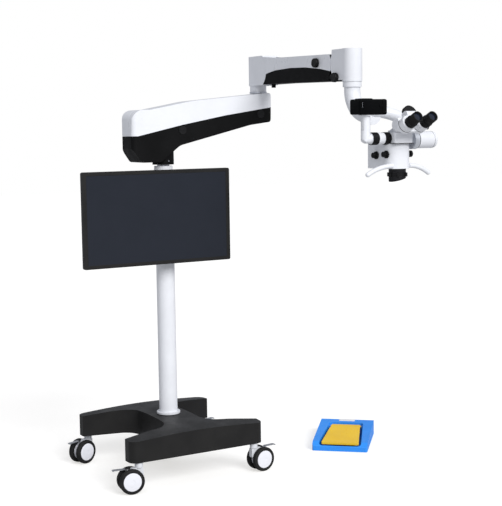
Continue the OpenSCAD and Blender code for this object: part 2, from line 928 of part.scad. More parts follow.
module rear_knuckle() {
  half = arm2_w / 2;
  pocket_start = pivot_in - frame_half_h - 2 * over;
  color("white")
    along_spring_arm()
      difference() {
        union() {
          translate([0, 0, neck_z]) cylinder(h = knuckle_h / 2, d = neck_d);
          difference() {
            union() {
              translate([0, 0, knuckle_z]) cylinder(h = knuckle_h, d = knuckle_d);
              intersection() {
                translate([0, -half, knuckle_z]) cube([arm2_reach, arm2_w, knuckle_h]);
                union() {
                  cross_pin([pivot_in, pivot_z], cheek_r, -half, half);
                  translate([0, -half, knuckle_z]) cube([pivot_in, arm2_w, knuckle_h]);
                }
              }
            }
            translate([pocket_start, -knuckle_pocket_half, knuckle_z - over])
              cube([arm2_reach, 2 * knuckle_pocket_half, knuckle_h + over - knuckle_roof]);
          }
          for (side = [0, 1])
            mirror([0, side, 0])
              translate([pocket_start - over, tongue[0], pivot_z - spring_drop - 4 * spring_pin_r])
                cube([
                  pivot_in - pocket_start + 3 * spring_pin_r, tongue[1] - tongue[0],
                  spring_drop + 4 * spring_pin_r + frame_half_h
                ]);
          cross_pin([pivot_in, pivot_z], pivot_pin_r, -half + over, half - over);
          cross_pin([pivot_in, link_z], link_pin_r, -half + over, half - over);
          cross_pin([pivot_in, pivot_z - spring_drop], spring_pin_r, -tongue[1], tongue[1]);
        }
        translate([0, 0, neck_z - over])
          cylinder(h = knuckle_h * 0.72, d = elbow_pin_d + 2 * fit);
      }
}

// Side outline of the spring arm's covers, from the round cheek to the front end
function shell_outline(wall) =
  let (
    top = scaled(shell_top_shares, arm2_reach, knuckle_h, knuckle_z),
    low = knuckle_z + shell_bottom_share * knuckle_h,
    foot = shell_top_shares[0].x * arm2_reach
  )
  inset(
    [
      [foot, low], [foot * 2.6, low], [shell_ends[2], low - 2 * shell_wall],
      [shell_ends[1], pivot_z - shell_wall], [shell_ends[0], top[2].y], top[1], top[0]
    ], wall);

module shell_form(wall) {
  difference() {
    side_plate(shell_outline(wall), arm2_w - 2 * wall);
    cross_pin([pivot_in, pivot_z], cheek_r + shell_start_gap, -arm2_w, arm2_w);
  }
}

// Everything below the curved line between the white shell and the black cover
module below_line(rise) {
  line = scaled(cover_line_shares, arm2_reach, knuckle_h, knuckle_z + rise);
  side_plate(concat(
    line,
    [[line[6].x, 0], [line[0].x, 0]]), 2 * arm2_w);
}

module spring_arm_walls() {
  difference() {
    shell_form(0);
    side_plate(
      [
        for (p = shell_outline(shell_wall))
          p.x < arm2_reach / 4 ? [p.x - 2 * pivot_in, p.y] : p.x > arm2_reach * 0.84 ? [p.x + pivot_in, p.y] : p
      ], arm2_w - 2 * shell_wall);
    translate([slot_ends_share[0] * arm2_reach, -slot_half, pivot_z])
      cube([(slot_ends_share[1] - slot_ends_share[0]) * arm2_reach, 2 * slot_half, knuckle_h]);
  }
}

module spring_arm_shell() {
  color("white")
    along_spring_arm()
      difference() {
        union() {
          spring_arm_walls();
          for (s = [0.35, 0.8])
            for (side = [0, 1])
              mirror([0, side, 0])
                translate([s * arm2_reach, frame_plate[1], pivot_z])
                  cube([knuckle_roof, arm2_w / 2 - frame_plate[1] - shell_wall / 2, frame_half_h]);
        }
        below_line(seam / 2);
        cross_pin(balance_knob_at, knob_shaft_r + fit, -arm2_w, -arm2_w / 2 + 2 * shell_wall);
      }
}

// Black lower cover, with the head of the height stop screw under its rear end
module spring_arm_lower_cover() {
  low = knuckle_z + shell_bottom_share * knuckle_h;
  color("#17181a")
    along_spring_arm() {
      intersection() {
        spring_arm_walls();
        below_line(-seam / 2);
      }
      translate([stop_knob[0] + stop_knob[1] + over, 0, low - stop_knob[2]])
        cylinder(h = stop_knob[2] + over, r = stop_knob[1]);
    }
}

// A flat bar with round ends between two pivots
module link_bar(from, to, z, half_h, y0, y1, bore_r) {
  difference() {
    union() {
      translate([from, y0, z - half_h]) cube([to - from, y1 - y0, 2 * half_h]);
      for (x = [from, to])
        cross_pin([x, z], half_h, y0, y1);
    }
    for (x = [from, to])
      cross_pin([x, z], bore_r + fit, y0 - over, y1 + over);
  }
}

module spring_arm_frame() {
  color("#2a2b2e")
    along_spring_arm() {
      for (side = [0, 1])
        mirror([0, side, 0])
          link_bar(pivot_in, front_pivot, pivot_z, frame_half_h, frame_plate[0], frame_plate[1], pivot_pin_r);
      translate([web_ends_share[0] * arm2_reach, -frame_plate[0] - over, pivot_z + frame_half_h - web_t])
        cube([
          (web_ends_share[1] - web_ends_share[0]) * arm2_reach, 2 * frame_plate[0] + 2 * over, web_t
        ]);
      cross_pin([spring_eye_share * arm2_reach, pivot_z + spring_eye_rise], spring_pin_r,
        -frame_plate[0] - over, frame_plate[0] + over);
    }
}

module parallel_link() {
  color("silver")
    along_spring_arm() {
      for (side = [0, 1])
        mirror([0, side, 0])
          link_bar(pivot_in, front_pivot, link_z, link_half_h + link_pin_r / 2, link_plate[0], link_plate[1],
            link_pin_r);
      translate([arm2_reach / 2, -link_plate[0] - over, link_z - link_half_h])
        cube([rib_t, 2 * link_plate[0] + 2 * over, 2 * link_half_h]);
    }
}

// The gas spring's own frame: X runs from its rear pin to its front eye
spring_rear = [pivot_in, pivot_z - spring_drop];
spring_front = [spring_eye_share * arm2_reach, pivot_z + spring_eye_rise];
spring_run = norm(spring_front - spring_rear);
spring_rise = atan2(spring_front.y - spring_rear.y, spring_front.x - spring_rear.x);

module along_gas_spring() {
  along_spring_arm()
    translate([spring_rear.x, 0, spring_rear.y]) rotate([0, -spring_rise, 0]) children();
}

module level_bar(from, to, r) {
  translate([from, 0, 0]) rotate([0, 90, 0]) cylinder(h = to - from, r = r);
}

module gas_spring_cylinder() {
  color("#26272a")
    along_gas_spring()
      difference() {
        union() {
          level_bar(gas_start, gas_share * spring_run, gas_d / 2);
          cross_pin([0, 0], 2 * spring_pin_r, -gas_tail_w / 2, gas_tail_w / 2);
          translate([0, -spring_pin_r, -spring_pin_r])
            cube([gas_start + over, 2 * spring_pin_r, 2 * spring_pin_r]);
        }
        cross_pin([0, 0], spring_pin_r + fit, -gas_tail_w, gas_tail_w);
        level_bar(gas_start + gas_d / 2, spring_run, gas_rod_d / 2 + fit);
      }
}

module gas_spring_rod() {
  color("silver")
    along_gas_spring()
      difference() {
        union() {
          level_bar(gas_share * spring_run * 0.4, spring_run - gas_eye_r + over, gas_rod_d / 2);
          cross_pin([spring_run, 0], gas_eye_r, -gas_eye_w / 2, gas_eye_w / 2);
        }
        cross_pin([spring_run, 0], spring_pin_r + gas_eye_play, -gas_eye_w, gas_eye_w);
      }
}

// A round knob on the left side of the spring arm
module side_knob(at, r, t) {
  color("#202124")
    along_spring_arm() {
      cross_pin(at, r, -arm2_w / 2 - t, -arm2_w / 2 - gap);
      cross_pin(at, knob_shaft_r, -arm2_w / 2 - t / 2, -arm2_w / 2 + shell_wall);
    }
}

module balance_knob() {
  side_knob(balance_knob_at, side_knob_r, side_knob_t);
}

module front_knuckle() {
  half = arm2_w / 2;
  color("white")
    along_spring_arm()
      difference() {
        union() {
          difference() {
            union() {
              translate([arm2_reach, 0, front_knuckle_z])
                cylinder(h = front_knuckle_top - front_knuckle_z, d = front_knuckle_d);
              side_plate(rounded(
                [
                  [front_pivot - block_back[2], front_knuckle_z + block_floor],
                  [arm2_reach, front_knuckle_z + block_floor],
                  [arm2_reach, front_knuckle_top - seam],
                  [front_pivot - block_back[0], front_knuckle_top - seam],
                  [front_pivot - block_back[1], pivot_z - shell_wall]
                ],
                [3, 0, 0, 4, 0], 3), arm2_w);
            }
            translate([0, -knuckle_pocket_half, front_knuckle_z - over])
              cube([
                front_pivot + frame_half_h + 2 * over, 2 * knuckle_pocket_half,
                front_knuckle_top - front_knuckle_z + over - block_top
              ]);
          }
          for (side = [0, 1])
            mirror([0, side, 0])
              cross_pin([front_pivot, pivot_z], front_cheek_r, link_plate[1] + gap, half - shell_wall - gap);
          cross_pin([front_pivot, pivot_z], pivot_pin_r, -half + over, half - over);
          cross_pin([front_pivot, link_z], link_pin_r, -half + over, half - over);
        }
        translate([arm2_reach, 0, front_knuckle_z - over])
          cylinder(h = drop_pin_h + 2 * over, d = drop_pin_d + 2 * fit);
        cross_pin(lock_knob_at, knob_shaft_r + fit, -arm2_w, -knuckle_pocket_half);
      }
}

module front_lock_knob() {
  color("#202124")
    along_spring_arm() {
      cross_pin(lock_knob_at, side_knob_r, -arm2_w / 2 - side_knob_t, -arm2_w / 2 - gap);
      cross_pin(lock_knob_at, knob_shaft_r, -arm2_w / 2 - side_knob_t / 2, -knuckle_pocket_half - over);
    }
}

// Curved tube that hangs from the front knuckle and turns forward
module suspension_tube() {
  step_top = front_knuckle_z - gap;
  tube_r = drop_tube_d / 2;
  bend_z = roll_z + drop_bend_r;
  color("white")
    at_front_knuckle()
      difference() {
        union() {
          translate([0, 0, step_top - over]) cylinder(h = drop_pin_h, d = drop_pin_d);
          translate([0, 0, step_top - step_h]) cylinder(h = step_h, d = step_d);
          translate([0, 0, bend_z]) cylinder(h = step_top - step_h / 2 - bend_z, r = tube_r);
          translate([0, -drop_bend_r, bend_z])
            rotate([0, 90, 0])
              rotate_extrude(angle = 90) translate([drop_bend_r, 0]) circle(tube_r);
          translate([0, -drop_bend_r, roll_z])
            rotate([90, 0, 0]) cylinder(h = roll_out - drop_bend_r - gap, r = tube_r);
          translate([0, -roll_out + gap, roll_z])
            rotate([-90, 0, 0]) cylinder(h = roll_disc_t / 2, d = roll_disc_d);
        }
        translate([0, -roll_out, roll_z])
          rotate([-90, 0, 0]) cylinder(h = roll_pin_h + over, r = roll_pin_r + fit);
      }
}

// Roll hub and the bent tube that runs from its side to the tilt hub
module c_arm() {
  r = c_arm_d / 2;
  turn_x = c_side - c_turn_r;
  out = head_reach - c_level;
  color("white")
    at_front_knuckle()
      difference() {
        union() {
          translate([0, -roll_out, roll_z]) rotate([90, 0, 0]) cylinder(h = roll_hub_h, d = roll_disc_d);
          translate([0, -roll_out - over, roll_z])
            rotate([-90, 0, 0]) cylinder(h = roll_pin_h, r = roll_pin_r);
          translate([0, -c_level, roll_z + c_rise])
            rotate([c_slope, 0, 0]) {
              rotate([0, 90, 0]) cylinder(h = turn_x, r = r);
              translate([turn_x, -c_turn_r, 0])
                rotate_extrude(angle = 90) translate([c_turn_r, 0]) circle(r);
              translate([c_side, -c_turn_r, 0])
                rotate([90, 0, 0]) cylinder(h = out / cos(c_slope) - c_turn_r, r = r);
            }
          translate([hub_start, -head_reach, tilt_z])
            rotate([0, 90, 0]) cylinder(h = hub_end - hub_start, d = tilt_hub_d);
        }
        translate([hub_start - over, -head_reach, tilt_z])
          rotate([0, 90, 0]) cylinder(h = hub_end - hub_start - tension_h + over, r = tilt_shaft_r + fit);
        translate([hub_start, -head_reach, tilt_z])
          rotate([0, 90, 0]) cylinder(h = hub_end - hub_start + over, r = changer_shaft_r + fit);
      }
}

module tilt_tension_knob() {
  color("white")
    at_optics()
      translate([hub_end + gap, 0, tilt_z])
        rotate([0, 90, 0]) {
          cylinder(h = tension_h, d = tilt_hub_d - 2 * tension_groove);
          translate([0, 0, over - tension_h]) cylinder(h = tension_h, r = changer_shaft_r);
        }
}

module tilt_flange() {
  color("gainsboro")
    at_optics() {
      translate([head_w / 2 + flange_out, 0, tilt_z])
        rotate([0, 90, 0]) cylinder(h = hub_start - head_w / 2 - flange_out - gap, d = tilt_flange_d);
      translate([hub_start - over, 0, tilt_z])
        rotate([0, 90, 0]) cylinder(h = hub_end - hub_start - tension_h - over, r = tilt_shaft_r);
      translate([splitter_w / 2, -bracket_w / 2, splitter_z])
        cube([head_w / 2 - splitter_w / 2 + flange_out + over, bracket_w, bracket_h]);
    }
}

// Plan of the head, drawn in by a wall: a full curve in front and small corners behind
module head_plan(wall) {
  x = head_w / 2 - wall;
  front = -head_front + wall;
  rear = head_rear - wall;
  polygon(rounded(
    [[-x, front], [x, front], [x, rear], [-x, rear]],
    [head_front_r - wall, head_front_r - wall, head_rear_r - wall, head_rear_r - wall], 10));
}

module head_housing() {
  half = head_w / 2;
  color("white")
    at_optics()
      difference() {
        translate([0, 0, head_z]) linear_extrude(head_h) head_plan(0);
        translate([0, 0, head_z + head_wall]) linear_extrude(head_h - 2 * head_wall) head_plan(head_wall);
        translate([0, 0, head_z + head_h / 2]) cylinder(h = head_h, r = light_bore_r);
        translate([0, 0, head_z - over]) cylinder(h = 2 * head_wall, r = barrel_spigot_r + fit);
        translate([-half - over, changer_y, changer_z])
          rotate([0, 90, 0]) cylinder(h = head_w + 2 * over, r = changer_shaft_r + fit);
        translate([-half - over, filter_at, filter_z])
          rotate([0, 90, 0]) cylinder(h = half, r = filter_shaft_r + fit);
      }
}

// Side knob with a narrower tip, at the left face of the head
module stepped_knob() {
  cylinder(h = knob_base_t, d = knob_d);
  translate([0, 0, knob_base_t - over]) cylinder(h = knob_tip_t + over, d = knob_tip_d);
}

// Drum with two crossing telescopes on the shaft of the magnification knobs
module magnification_changer() {
  half = head_w / 2;
  color("#202124")
    at_optics()
      translate([0, changer_y, changer_z]) {
        difference() {
          translate([-changer_half, 0, 0]) rotate([0, 90, 0]) cylinder(h = 2 * changer_half, r = changer_r);
          for (x = [-1, 1])
            translate([x * changer_half / 2, 0, 0]) {
              cylinder(h = 3 * changer_r, r = changer_bore_r, center = true);
              rotate([90, 0, 0]) cylinder(h = 3 * changer_r, r = changer_bore_r, center = true);
            }
        }
        for (x = [-1, 1])
          translate([x * (half + gap), 0, 0])
            rotate([0, -x * 90, 0]) cylinder(h = 2 * gap + half - changer_half, r = changer_shaft_r);
        translate([-half - gap, 0, 0]) rotate([0, -90, 0]) stepped_knob();
        translate([half + gap, 0, 0]) rotate([0, 90, 0]) cylinder(h = knob_base_t, d = knob_d - 2 * over);
      }
}

module filter_knob() {
  half = head_w / 2;
  color("#202124")
    at_optics()
      translate([-half - gap, filter_at, filter_z]) {
        rotate([0, -90, 0]) stepped_knob();
        rotate([0, 90, 0]) cylinder(h = 3 * head_wall, r = filter_shaft_r);
      }
}

module objective_barrel() {
  r = objective_d / 2;
  color("#17181a")
    at_optics()
      difference() {
        union() {
          translate([0, 0, ring_z + ring_h + gap]) cylinder(h = head_z - ring_z - ring_h - gap, r = r);
          translate([0, 0, barrel_z + barrel_slant])
            cylinder(h = head_z + head_wall - barrel_z - barrel_slant, r = barrel_spigot_r);
          difference() {
            translate([0, 0, barrel_z]) cylinder(h = ring_z - gap - barrel_z, r = r);
            translate([-r, 0, barrel_z])
              rotate([0, -atan(barrel_slant / objective_d), 0])
                translate([-r, -objective_d, -objective_d]) cube([4 * r, 2 * objective_d, objective_d]);
          }
        }
        translate([0, 0, barrel_z - over])
          cylinder(h = head_z - barrel_z + 3 * head_wall, r = barrel_bore_r + fit);
      }
}

module focus_ring() {
  color("#202124")
    at_optics()
      translate([0, 0, ring_z])
        difference() {
          union() {
            cylinder(h = ring_h, r = objective_d / 2);
            for (a = [0:60:300])
              rotate([0, 0, a])
                translate([0, -ring_lug_w / 2, 0]) cube([objective_d / 2 + ring_lug, ring_lug_w, ring_h]);
          }
          translate([0, 0, -over]) cylinder(h = ring_h + 2 * over, r = barrel_spigot_r + fit);
        }
}

// Objective lens in its sliding cell
module objective_lens() {
  at_optics()
    translate([0, 0, cell_z]) {
      color("#202124")
        difference() {
          cylinder(h = cell_h, r = barrel_bore_r);
          translate([0, 0, -over]) cylinder(h = cell_h + 2 * over, r = lens_r);
        }
      color("lightblue") translate([0, 0, cell_h / 4]) cylinder(h = cell_h / 2, r = lens_r + over);
    }
}

// Curved handle that starts level and droops toward its tip
module handle(side) {
  sweep = 2 * atan(handle_drop / handle_reach);
  bend = handle_reach / sin(sweep);
  color("white")
    at_optics()
      mirror([side, 0, 0])
        translate([-handle_root.x, -handle_root.y, head_z + handle_root.z])
          rotate([0, 0, -8]) {
            rotate([90, 0, 0])
              translate([0, -bend, 0])
                rotate([0, 0, 90]) rotate_extrude(angle = sweep) translate([bend, 0]) circle(d = handle_d);
            translate([-bend * sin(sweep), 0, bend * cos(sweep) - bend]) sphere(d = handle_d);
          }
}

module handle_left() {
  difference() {
    handle(0);
    at_optics() translate([0, 0, head_z]) linear_extrude(head_h) head_plan(0);
  }
}

module handle_right() {
  difference() {
    handle(1);
    at_optics() translate([0, 0, head_z]) linear_extrude(head_h) head_plan(0);
  }
}

module beam_splitter() {
  color("white")
    at_optics()
      difference() {
        translate([0, 0, splitter_z])
          linear_extrude(splitter_h) round_rect(splitter_w, splitter_w, head_rear_r / 2);
        translate([0, 0, splitter_z - over]) cylinder(h = splitter_h + 2 * over, r = light_bore_r);
        translate([-splitter_w, 0, port_z]) rotate([0, 90, 0]) cylinder(h = splitter_w, r = light_bore_r * 0.7);
      }
}

// Rings of the photo port, and the mirror elbow with its vertical tube
// Space on one side of the elbow's mitre
module elbow_half(from) {
  size = 2 * adapter_out;
  translate([-adapter_out, -size / 2, port_z])
    rotate([0, 45, 0]) translate([from, 0, -size / 2]) cube(size);
}

module photo_adapter() {
  end = -splitter_w / 2 - port_rings[0] - port_rings[1] - port_rings[2];
  r = adapter_d / 2;
  color("white")
    at_optics()
      difference() {
        union() {
          translate([end, 0, port_z])
            rotate([0, 90, 0]) cylinder(h = port_rings[0] + port_rings[1] + port_rings[2], d = port_d);
          difference() {
            union() {
              intersection() {
                translate([-adapter_out - r, 0, port_z])
                  rotate([0, 90, 0]) cylinder(h = adapter_out + end + r + over, r = r);
                elbow_half(0);
              }
              intersection() {
                translate([-adapter_out, 0, port_z - r]) cylinder(h = camera_z - mount_h - port_z + r, r = r);
                elbow_half(-2 * adapter_out);
              }
            }
            translate([-adapter_out - r, 0, port_z - r])
              rotate([0, 45, 0]) cube([adapter_chamfer, 3 * r, 3 * r], center = true);
          }
          translate([-adapter_out, 0, camera_z - mount_h]) cylinder(h = mount_h, d = mount_d - 2 * port_groove);
        }
        translate([-head_w / 2 - gap, -port_d, port_z - port_d])
          cube([head_w, 2 * port_d, head_top + gap - port_z + port_d]);
        for (x = [end + port_rings[2], end + port_rings[2] + port_rings[1]])
          translate([x - port_groove / 2, 0, port_z])
            rotate([0, 90, 0])
              difference() {
                cylinder(h = port_groove, d = port_d + over);
                translate([0, 0, -over]) cylinder(h = port_groove + 2 * over, d = port_d - 2 * port_groove);
              }
      }
}

// Camera lying on its back, with its lens mount down
module camera() {
  left = camera_w / 2;
  middle = camera_shift - adapter_out;
  color("#111214")
    at_optics()
      translate([middle, 0, camera_z]) {
        linear_extrude(camera_h) round_rect(camera_w, camera_d, camera_r);
        translate([-left + finder_w * 0.9, 0, camera_h - over])
          linear_extrude(finder_h + over) round_rect(finder_w, camera_d * 0.6, camera_r / 2);
      }
}

module binocular_mount() {
  disc_z = splitter_top;
  color("silver")
    at_optics()
      difference() {
        union() {
          translate([0, 0, disc_z]) cylinder(h = mount_disc_h, d = mount_disc_d);
          side_plate_y(
            [
              [-incline_out - incline_knuckle_r * 0.8, incline_z],
              [-incline_out, incline_z - incline_knuckle_r],
              [mount_disc_d * 0.3, disc_z], [mount_disc_d * 0.3, disc_z + mount_disc_h],
              [-incline_out + incline_knuckle_r, incline_z]
            ], 2 * incline_knuckle_half);
          translate([-incline_knuckle_half, -incline_out, incline_z])
            rotate([0, 90, 0]) cylinder(h = 2 * incline_knuckle_half, r = incline_knuckle_r);
        }
        translate([-splitter_w, -incline_out, incline_z])
          rotate([0, 90, 0]) cylinder(h = 2 * splitter_w, r = incline_pin_r + fit);
        translate([0, 0, disc_z - over]) cylinder(h = mount_disc_h + over, r = light_bore_r * 0.8);
      }
}

module binocular_housing() {
  inner = incline_knuckle_half + incline_knuckle_gap;
  r = incline_d / 2;
  color("white")
    at_binocular()
      difference() {
        union() {
          for (side = [0, 1])
            mirror([side, 0, 0]) {
              rotate([0, 90, 0])
                rotate_extrude(angle = 360)
                  polygon(rounded(
                    [[0, inner], [r, inner], [r, incline_half], [0, incline_half]],
                    [0, 1, 14, 0], 6));
              translate([inner, -back_plate[0] - over, -r * 0.6])
                cube([incline_half - inner, back_plate[0] + over, r * 1.2]);
            }
          cross_x_pin(incline_pin_r, inner + over);
          for (side = [-1, 1])
            toward_eye(side * drum_gap / 2, back_plate[0], drum_low)
              cylinder(h = back_plate[1] - back_plate[0], r = back_plate_r);
          toward_eye(0, back_plate[0], drum_low)
            linear_extrude(back_plate[1] - back_plate[0])
              square([drum_gap, 2 * back_plate_r - incline_pin_r], center = true);
          side_plate_y(rounded(
            [
              [-back_plate[0], -drum_low], [-back_plate[0], hood_top], [-hood_out, hood_top],
              [-hood_out, hood_low], [-back_plate[1] - gap, hood_low], [-back_plate[1], -drum_low]
            ],
            [0, 5, 10, 2, 0, 0], 5), 2 * hood_half);
          difference() {
            toward_eye(disc_knob_at.x, back_plate[0] - disc_knob[0], -disc_knob_at.y)
              cylinder(h = disc_knob[0] + over, r = disc_knob[1]);
            rotate([0, 90, 0]) cylinder(h = 2 * inner, r = incline_knuckle_r + incline_knuckle_gap, center = true);
          }
        }
        for (side = [-1, 1])
          toward_eye(side * drum_gap / 2, back_plate[1] - drum_spigot_h - gap, drum_low)
            cylinder(h = drum_spigot_h + over, r = drum_spigot_r + fit);
        translate([drum_gap / 2, -pd_at.x, -pd_at.y])
          rotate([0, 90, 0]) cylinder(h = drum_gap, r = pd_shaft_r + fit);
      }
}

module prism_drum(side) {
  color("white")
    at_binocular()
      difference() {
        union() {
          toward_eye(side * drum_gap / 2, back_plate[1] + gap, drum_low)
            rotate_extrude(angle = 360)
              polygon(rounded(
                [[0, 0], [drum_d / 2, 0], [drum_d / 2, drum_h], [0, drum_h]],
                [0, 2, 5, 0], 4));
          toward_eye(side * drum_gap / 2, back_plate[1] - drum_spigot_h, drum_low)
            cylinder(h = drum_spigot_h + over, r = drum_spigot_r);
        }
        toward_eye(side * eye_gap / 2, eye_start - eye_spigot_h - gap, eye_low)
          cylinder(h = eye_spigot_h + over, r = eye_spigot_r + fit);
      }
}

// Eyepiece with its ring, rubber cup and hollow end
module eyepiece(side) {
  cup = eyecup_d / 2;
  length = eye_end - eye_start;
  color("#17181a")
    at_binocular()
      toward_eye(side * eye_gap / 2, eye_start, eye_low)
        rotate_extrude(angle = 360)
          polygon(rounded(
            [
              [0, -eye_spigot_h], [eye_spigot_r, -eye_spigot_h], [eye_spigot_r, 0],
              [eye_ring_r, 0], [eye_ring_r, eye_ring_h], [cup - over, eye_ring_h + over],
              [cup, length], [eye_lens_r + over, length],
              [eye_lens_r, length - eye_dish], [0, length - eye_dish]
            ],
            [0, 0, 0, 2, 2, 0, 2, 1, 0, 0], 4));
}

module pd_knob() {
  from = drum_gap / 2 + back_plate_r;
  color("#202124")
    at_binocular()
      translate([from, -pd_at.x, -pd_at.y])
        rotate([0, 90, 0]) {
          cylinder(h = pd_knob_t, r = pd_knob_r);
          translate([0, 0, -back_plate_r / 3]) cylinder(h = back_plate_r / 3 + over, r = pd_shaft_r);
        }
}

// Plan of the treadle, wider at its front, grown by a margin
module treadle_plan(margin) {
  front = -pedal_d / 2 + treadle_front - margin;
  rear = -pedal_d / 2 + treadle_front + treadle_l + margin;
  half = treadle_w / 2 + margin;
  back_half = treadle_back_w / 2 + margin;
  polygon(rounded(
    [[-half, front], [half, front], [back_half, rear], [-back_half, rear]],
    [treadle_side + margin, treadle_side + margin, treadle_side + margin, treadle_side + margin]));
}

// Turns level pieces onto the pedal's sloping top, drop below it
module on_slope(drop) {
  translate([0, -pedal_d / 2, pedal_low - drop])
    rotate([pedal_slope, 0, 0])
      translate([0, pedal_d / 2, 0]) children();
}

module pedal_base() {
  half_d = pedal_d / 2;
  profile = [
    [-half_d, 0], [half_d, 0], [half_d, pedal_high - pedal_edge], [half_d - pedal_edge, pedal_high],
    [-half_d + pedal_lip, pedal_low + pedal_lip * tan(pedal_slope)], [-half_d, pedal_low - pedal_lip / 2]
  ];
  hinge = treadle_hinge_at();
  color("#3d96fa")
    at_pedal()
      difference() {
        union() {
          difference() {
            intersection() {
              side_plate_y(rounded(profile, [0, 0, 3, 10, 20, 6]), pedal_w);
              linear_extrude(2 * pedal_high) round_rect(pedal_w, pedal_d, pedal_r);
            }
            translate([0, 0, pedal_floor])
              linear_extrude(2 * pedal_high) treadle_plan(pedal_margin);
          }
          for (side = [-1, 1])
            translate([side * (treadle_back_w / 2 + pedal_margin), hinge.x, pedal_floor - over])
              translate([-hinge_post_w / 2, -hinge_post_w / 2, 0])
                cube([hinge_post_w, hinge_post_w, hinge.y + treadle_hinge_r + over - pedal_floor]);
        }
        translate([0, hinge.x, hinge.y])
          cross_x_pin(treadle_hinge_r + fit, treadle_back_w / 2 + pedal_margin + over);
      }
}

// Place of the treadle's hinge: along the pedal and above the floor
function treadle_hinge_at() =
  let (y = -pedal_d / 2 + treadle_front + treadle_l - treadle_hinge_in)
  [y, pedal_low + (y + pedal_d / 2) * tan(pedal_slope) - treadle_sink - treadle_t];

module pedal_treadle() {
  hinge = treadle_hinge_at();
  color("#ecc13a")
    at_pedal() {
      on_slope(treadle_sink + treadle_t)
        difference() {
          linear_extrude(treadle_t) treadle_plan(0);
          translate([-treadle_w, treadle_crease, treadle_t])
            rotate([-crease_drop, 0, 0]) cube([2 * treadle_w, treadle_l, treadle_t]);
        }
      translate([0, hinge.x, hinge.y]) cross_x_pin(treadle_hinge_r, treadle_back_w / 2 + pedal_margin);
      translate([-treadle_back_w / 2 + treadle_side, hinge.x - treadle_hinge_r, hinge.y])
        cube([treadle_back_w - 2 * treadle_side, 2 * treadle_hinge_r, treadle_t / 2]);
    }
}

base_cover();
base_frame();
column_collar();
column();
caster_fork(0);  // front_left_caster_fork
caster_wheels(0);  // front_left_caster_wheels
caster_brake(0);  // front_left_caster_brake
caster_fork(1);  // front_right_caster_fork
caster_wheels(1);  // front_right_caster_wheels
caster_brake(1);  // front_right_caster_brake
caster_fork(2);  // rear_left_caster_fork
caster_wheels(2);  // rear_left_caster_wheels
caster_brake(2);  // rear_left_caster_brake
caster_fork(3);  // rear_right_caster_fork
caster_wheels(3);  // rear_right_caster_wheels
caster_brake(3);  // rear_right_caster_brake
monitor_clamp();
monitor_swivel();
monitor_tilt_plate();
monitor_housing();
monitor_screen();
arm_top_cover();
arm_bottom_cover();
arm_beam();
column_brake_knob();
elbow_brake_knob();
rear_knuckle();
spring_arm_shell();
spring_arm_lower_cover();
spring_arm_frame();
parallel_link();
gas_spring_cylinder();
gas_spring_rod();
balance_knob();
front_knuckle();
front_lock_knob();
suspension_tube();
c_arm();
tilt_tension_knob();
tilt_flange();
head_housing();
magnification_changer();
filter_knob();
objective_barrel();
focus_ring();
objective_lens();
handle_left();
handle_right();
beam_splitter();
photo_adapter();
camera();
binocular_mount();
binocular_housing();
prism_drum(-1);  // left_prism_drum
prism_drum(1);  // right_prism_drum
eyepiece(-1);  // left_eyepiece
eyepiece(1);  // right_eyepiece
pd_knob();
pedal_base();
pedal_treadle();
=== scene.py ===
import bpy
import json
import math
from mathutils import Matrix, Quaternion, Vector


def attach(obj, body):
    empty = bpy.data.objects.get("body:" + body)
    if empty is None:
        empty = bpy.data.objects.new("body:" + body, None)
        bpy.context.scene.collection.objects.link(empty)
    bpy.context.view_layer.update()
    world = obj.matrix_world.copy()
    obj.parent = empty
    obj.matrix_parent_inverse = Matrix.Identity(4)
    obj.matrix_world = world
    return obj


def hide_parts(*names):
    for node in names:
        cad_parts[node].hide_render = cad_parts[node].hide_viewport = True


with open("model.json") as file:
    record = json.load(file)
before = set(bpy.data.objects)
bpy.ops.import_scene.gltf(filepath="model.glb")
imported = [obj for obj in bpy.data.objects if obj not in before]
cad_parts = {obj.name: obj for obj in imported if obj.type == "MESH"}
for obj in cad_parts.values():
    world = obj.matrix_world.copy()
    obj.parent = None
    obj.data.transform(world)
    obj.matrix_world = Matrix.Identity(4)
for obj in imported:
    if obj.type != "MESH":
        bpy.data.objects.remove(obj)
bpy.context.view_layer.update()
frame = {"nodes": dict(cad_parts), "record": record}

nodes = frame["nodes"]
record = frame["record"]
bodyOf = {n: b for b, group in record["behaviour"]["bodies"].items() for n in group}
slotOf = {s["node"]: s["material_slot"] for s in record["subparts"]}
joints = [joint for joint in record["behaviour"]["joints"] if "pos_m" in joint]
placeOf = {joint["name"]: Vector(joint["pos_m"]) for joint in joints}
axisOf = {joint["name"]: Vector(joint["axis"]).normalized() for joint in joints}
optics = placeOf["focus_turn"]
eyeLine = axisOf["left_diopter"]
eyeUp = Vector((0, eyeLine.z, -eyeLine.y))
print("frame loaded:", len(nodes), "nodes")

# camera and lights
photoCamera = {
    "place": (-2.1308, -4.4013, 1.4214),
    "turn": 30.0,       # degrees right of +Y
    "dip": 6.134,       # degrees below level
    "roll": -0.7965,    # degrees about the line of sight
    "lens": 84.32,      # mm, like the sensor
    "sensor": 36,
    "farthest": 60,
}
turn = math.radians(photoCamera["turn"])
dip = math.radians(photoCamera["dip"])
roll = math.radians(photoCamera["roll"])
lookAlong = Vector((math.sin(turn) * math.cos(dip), math.cos(turn) * math.cos(dip), -math.sin(dip)))
bpy.ops.object.select_all(action="DESELECT")
bpy.ops.object.camera_add(location=photoCamera["place"])
camera = bpy.context.object
camera.rotation_mode = "QUATERNION"
camera.rotation_quaternion = lookAlong.to_track_quat("-Z", "Y") @ Quaternion((0, 0, 1), roll)
camera.data.lens = photoCamera["lens"]
camera.data.sensor_width = photoCamera["sensor"]
camera.data.clip_end = photoCamera["farthest"]
bpy.context.scene.camera = camera

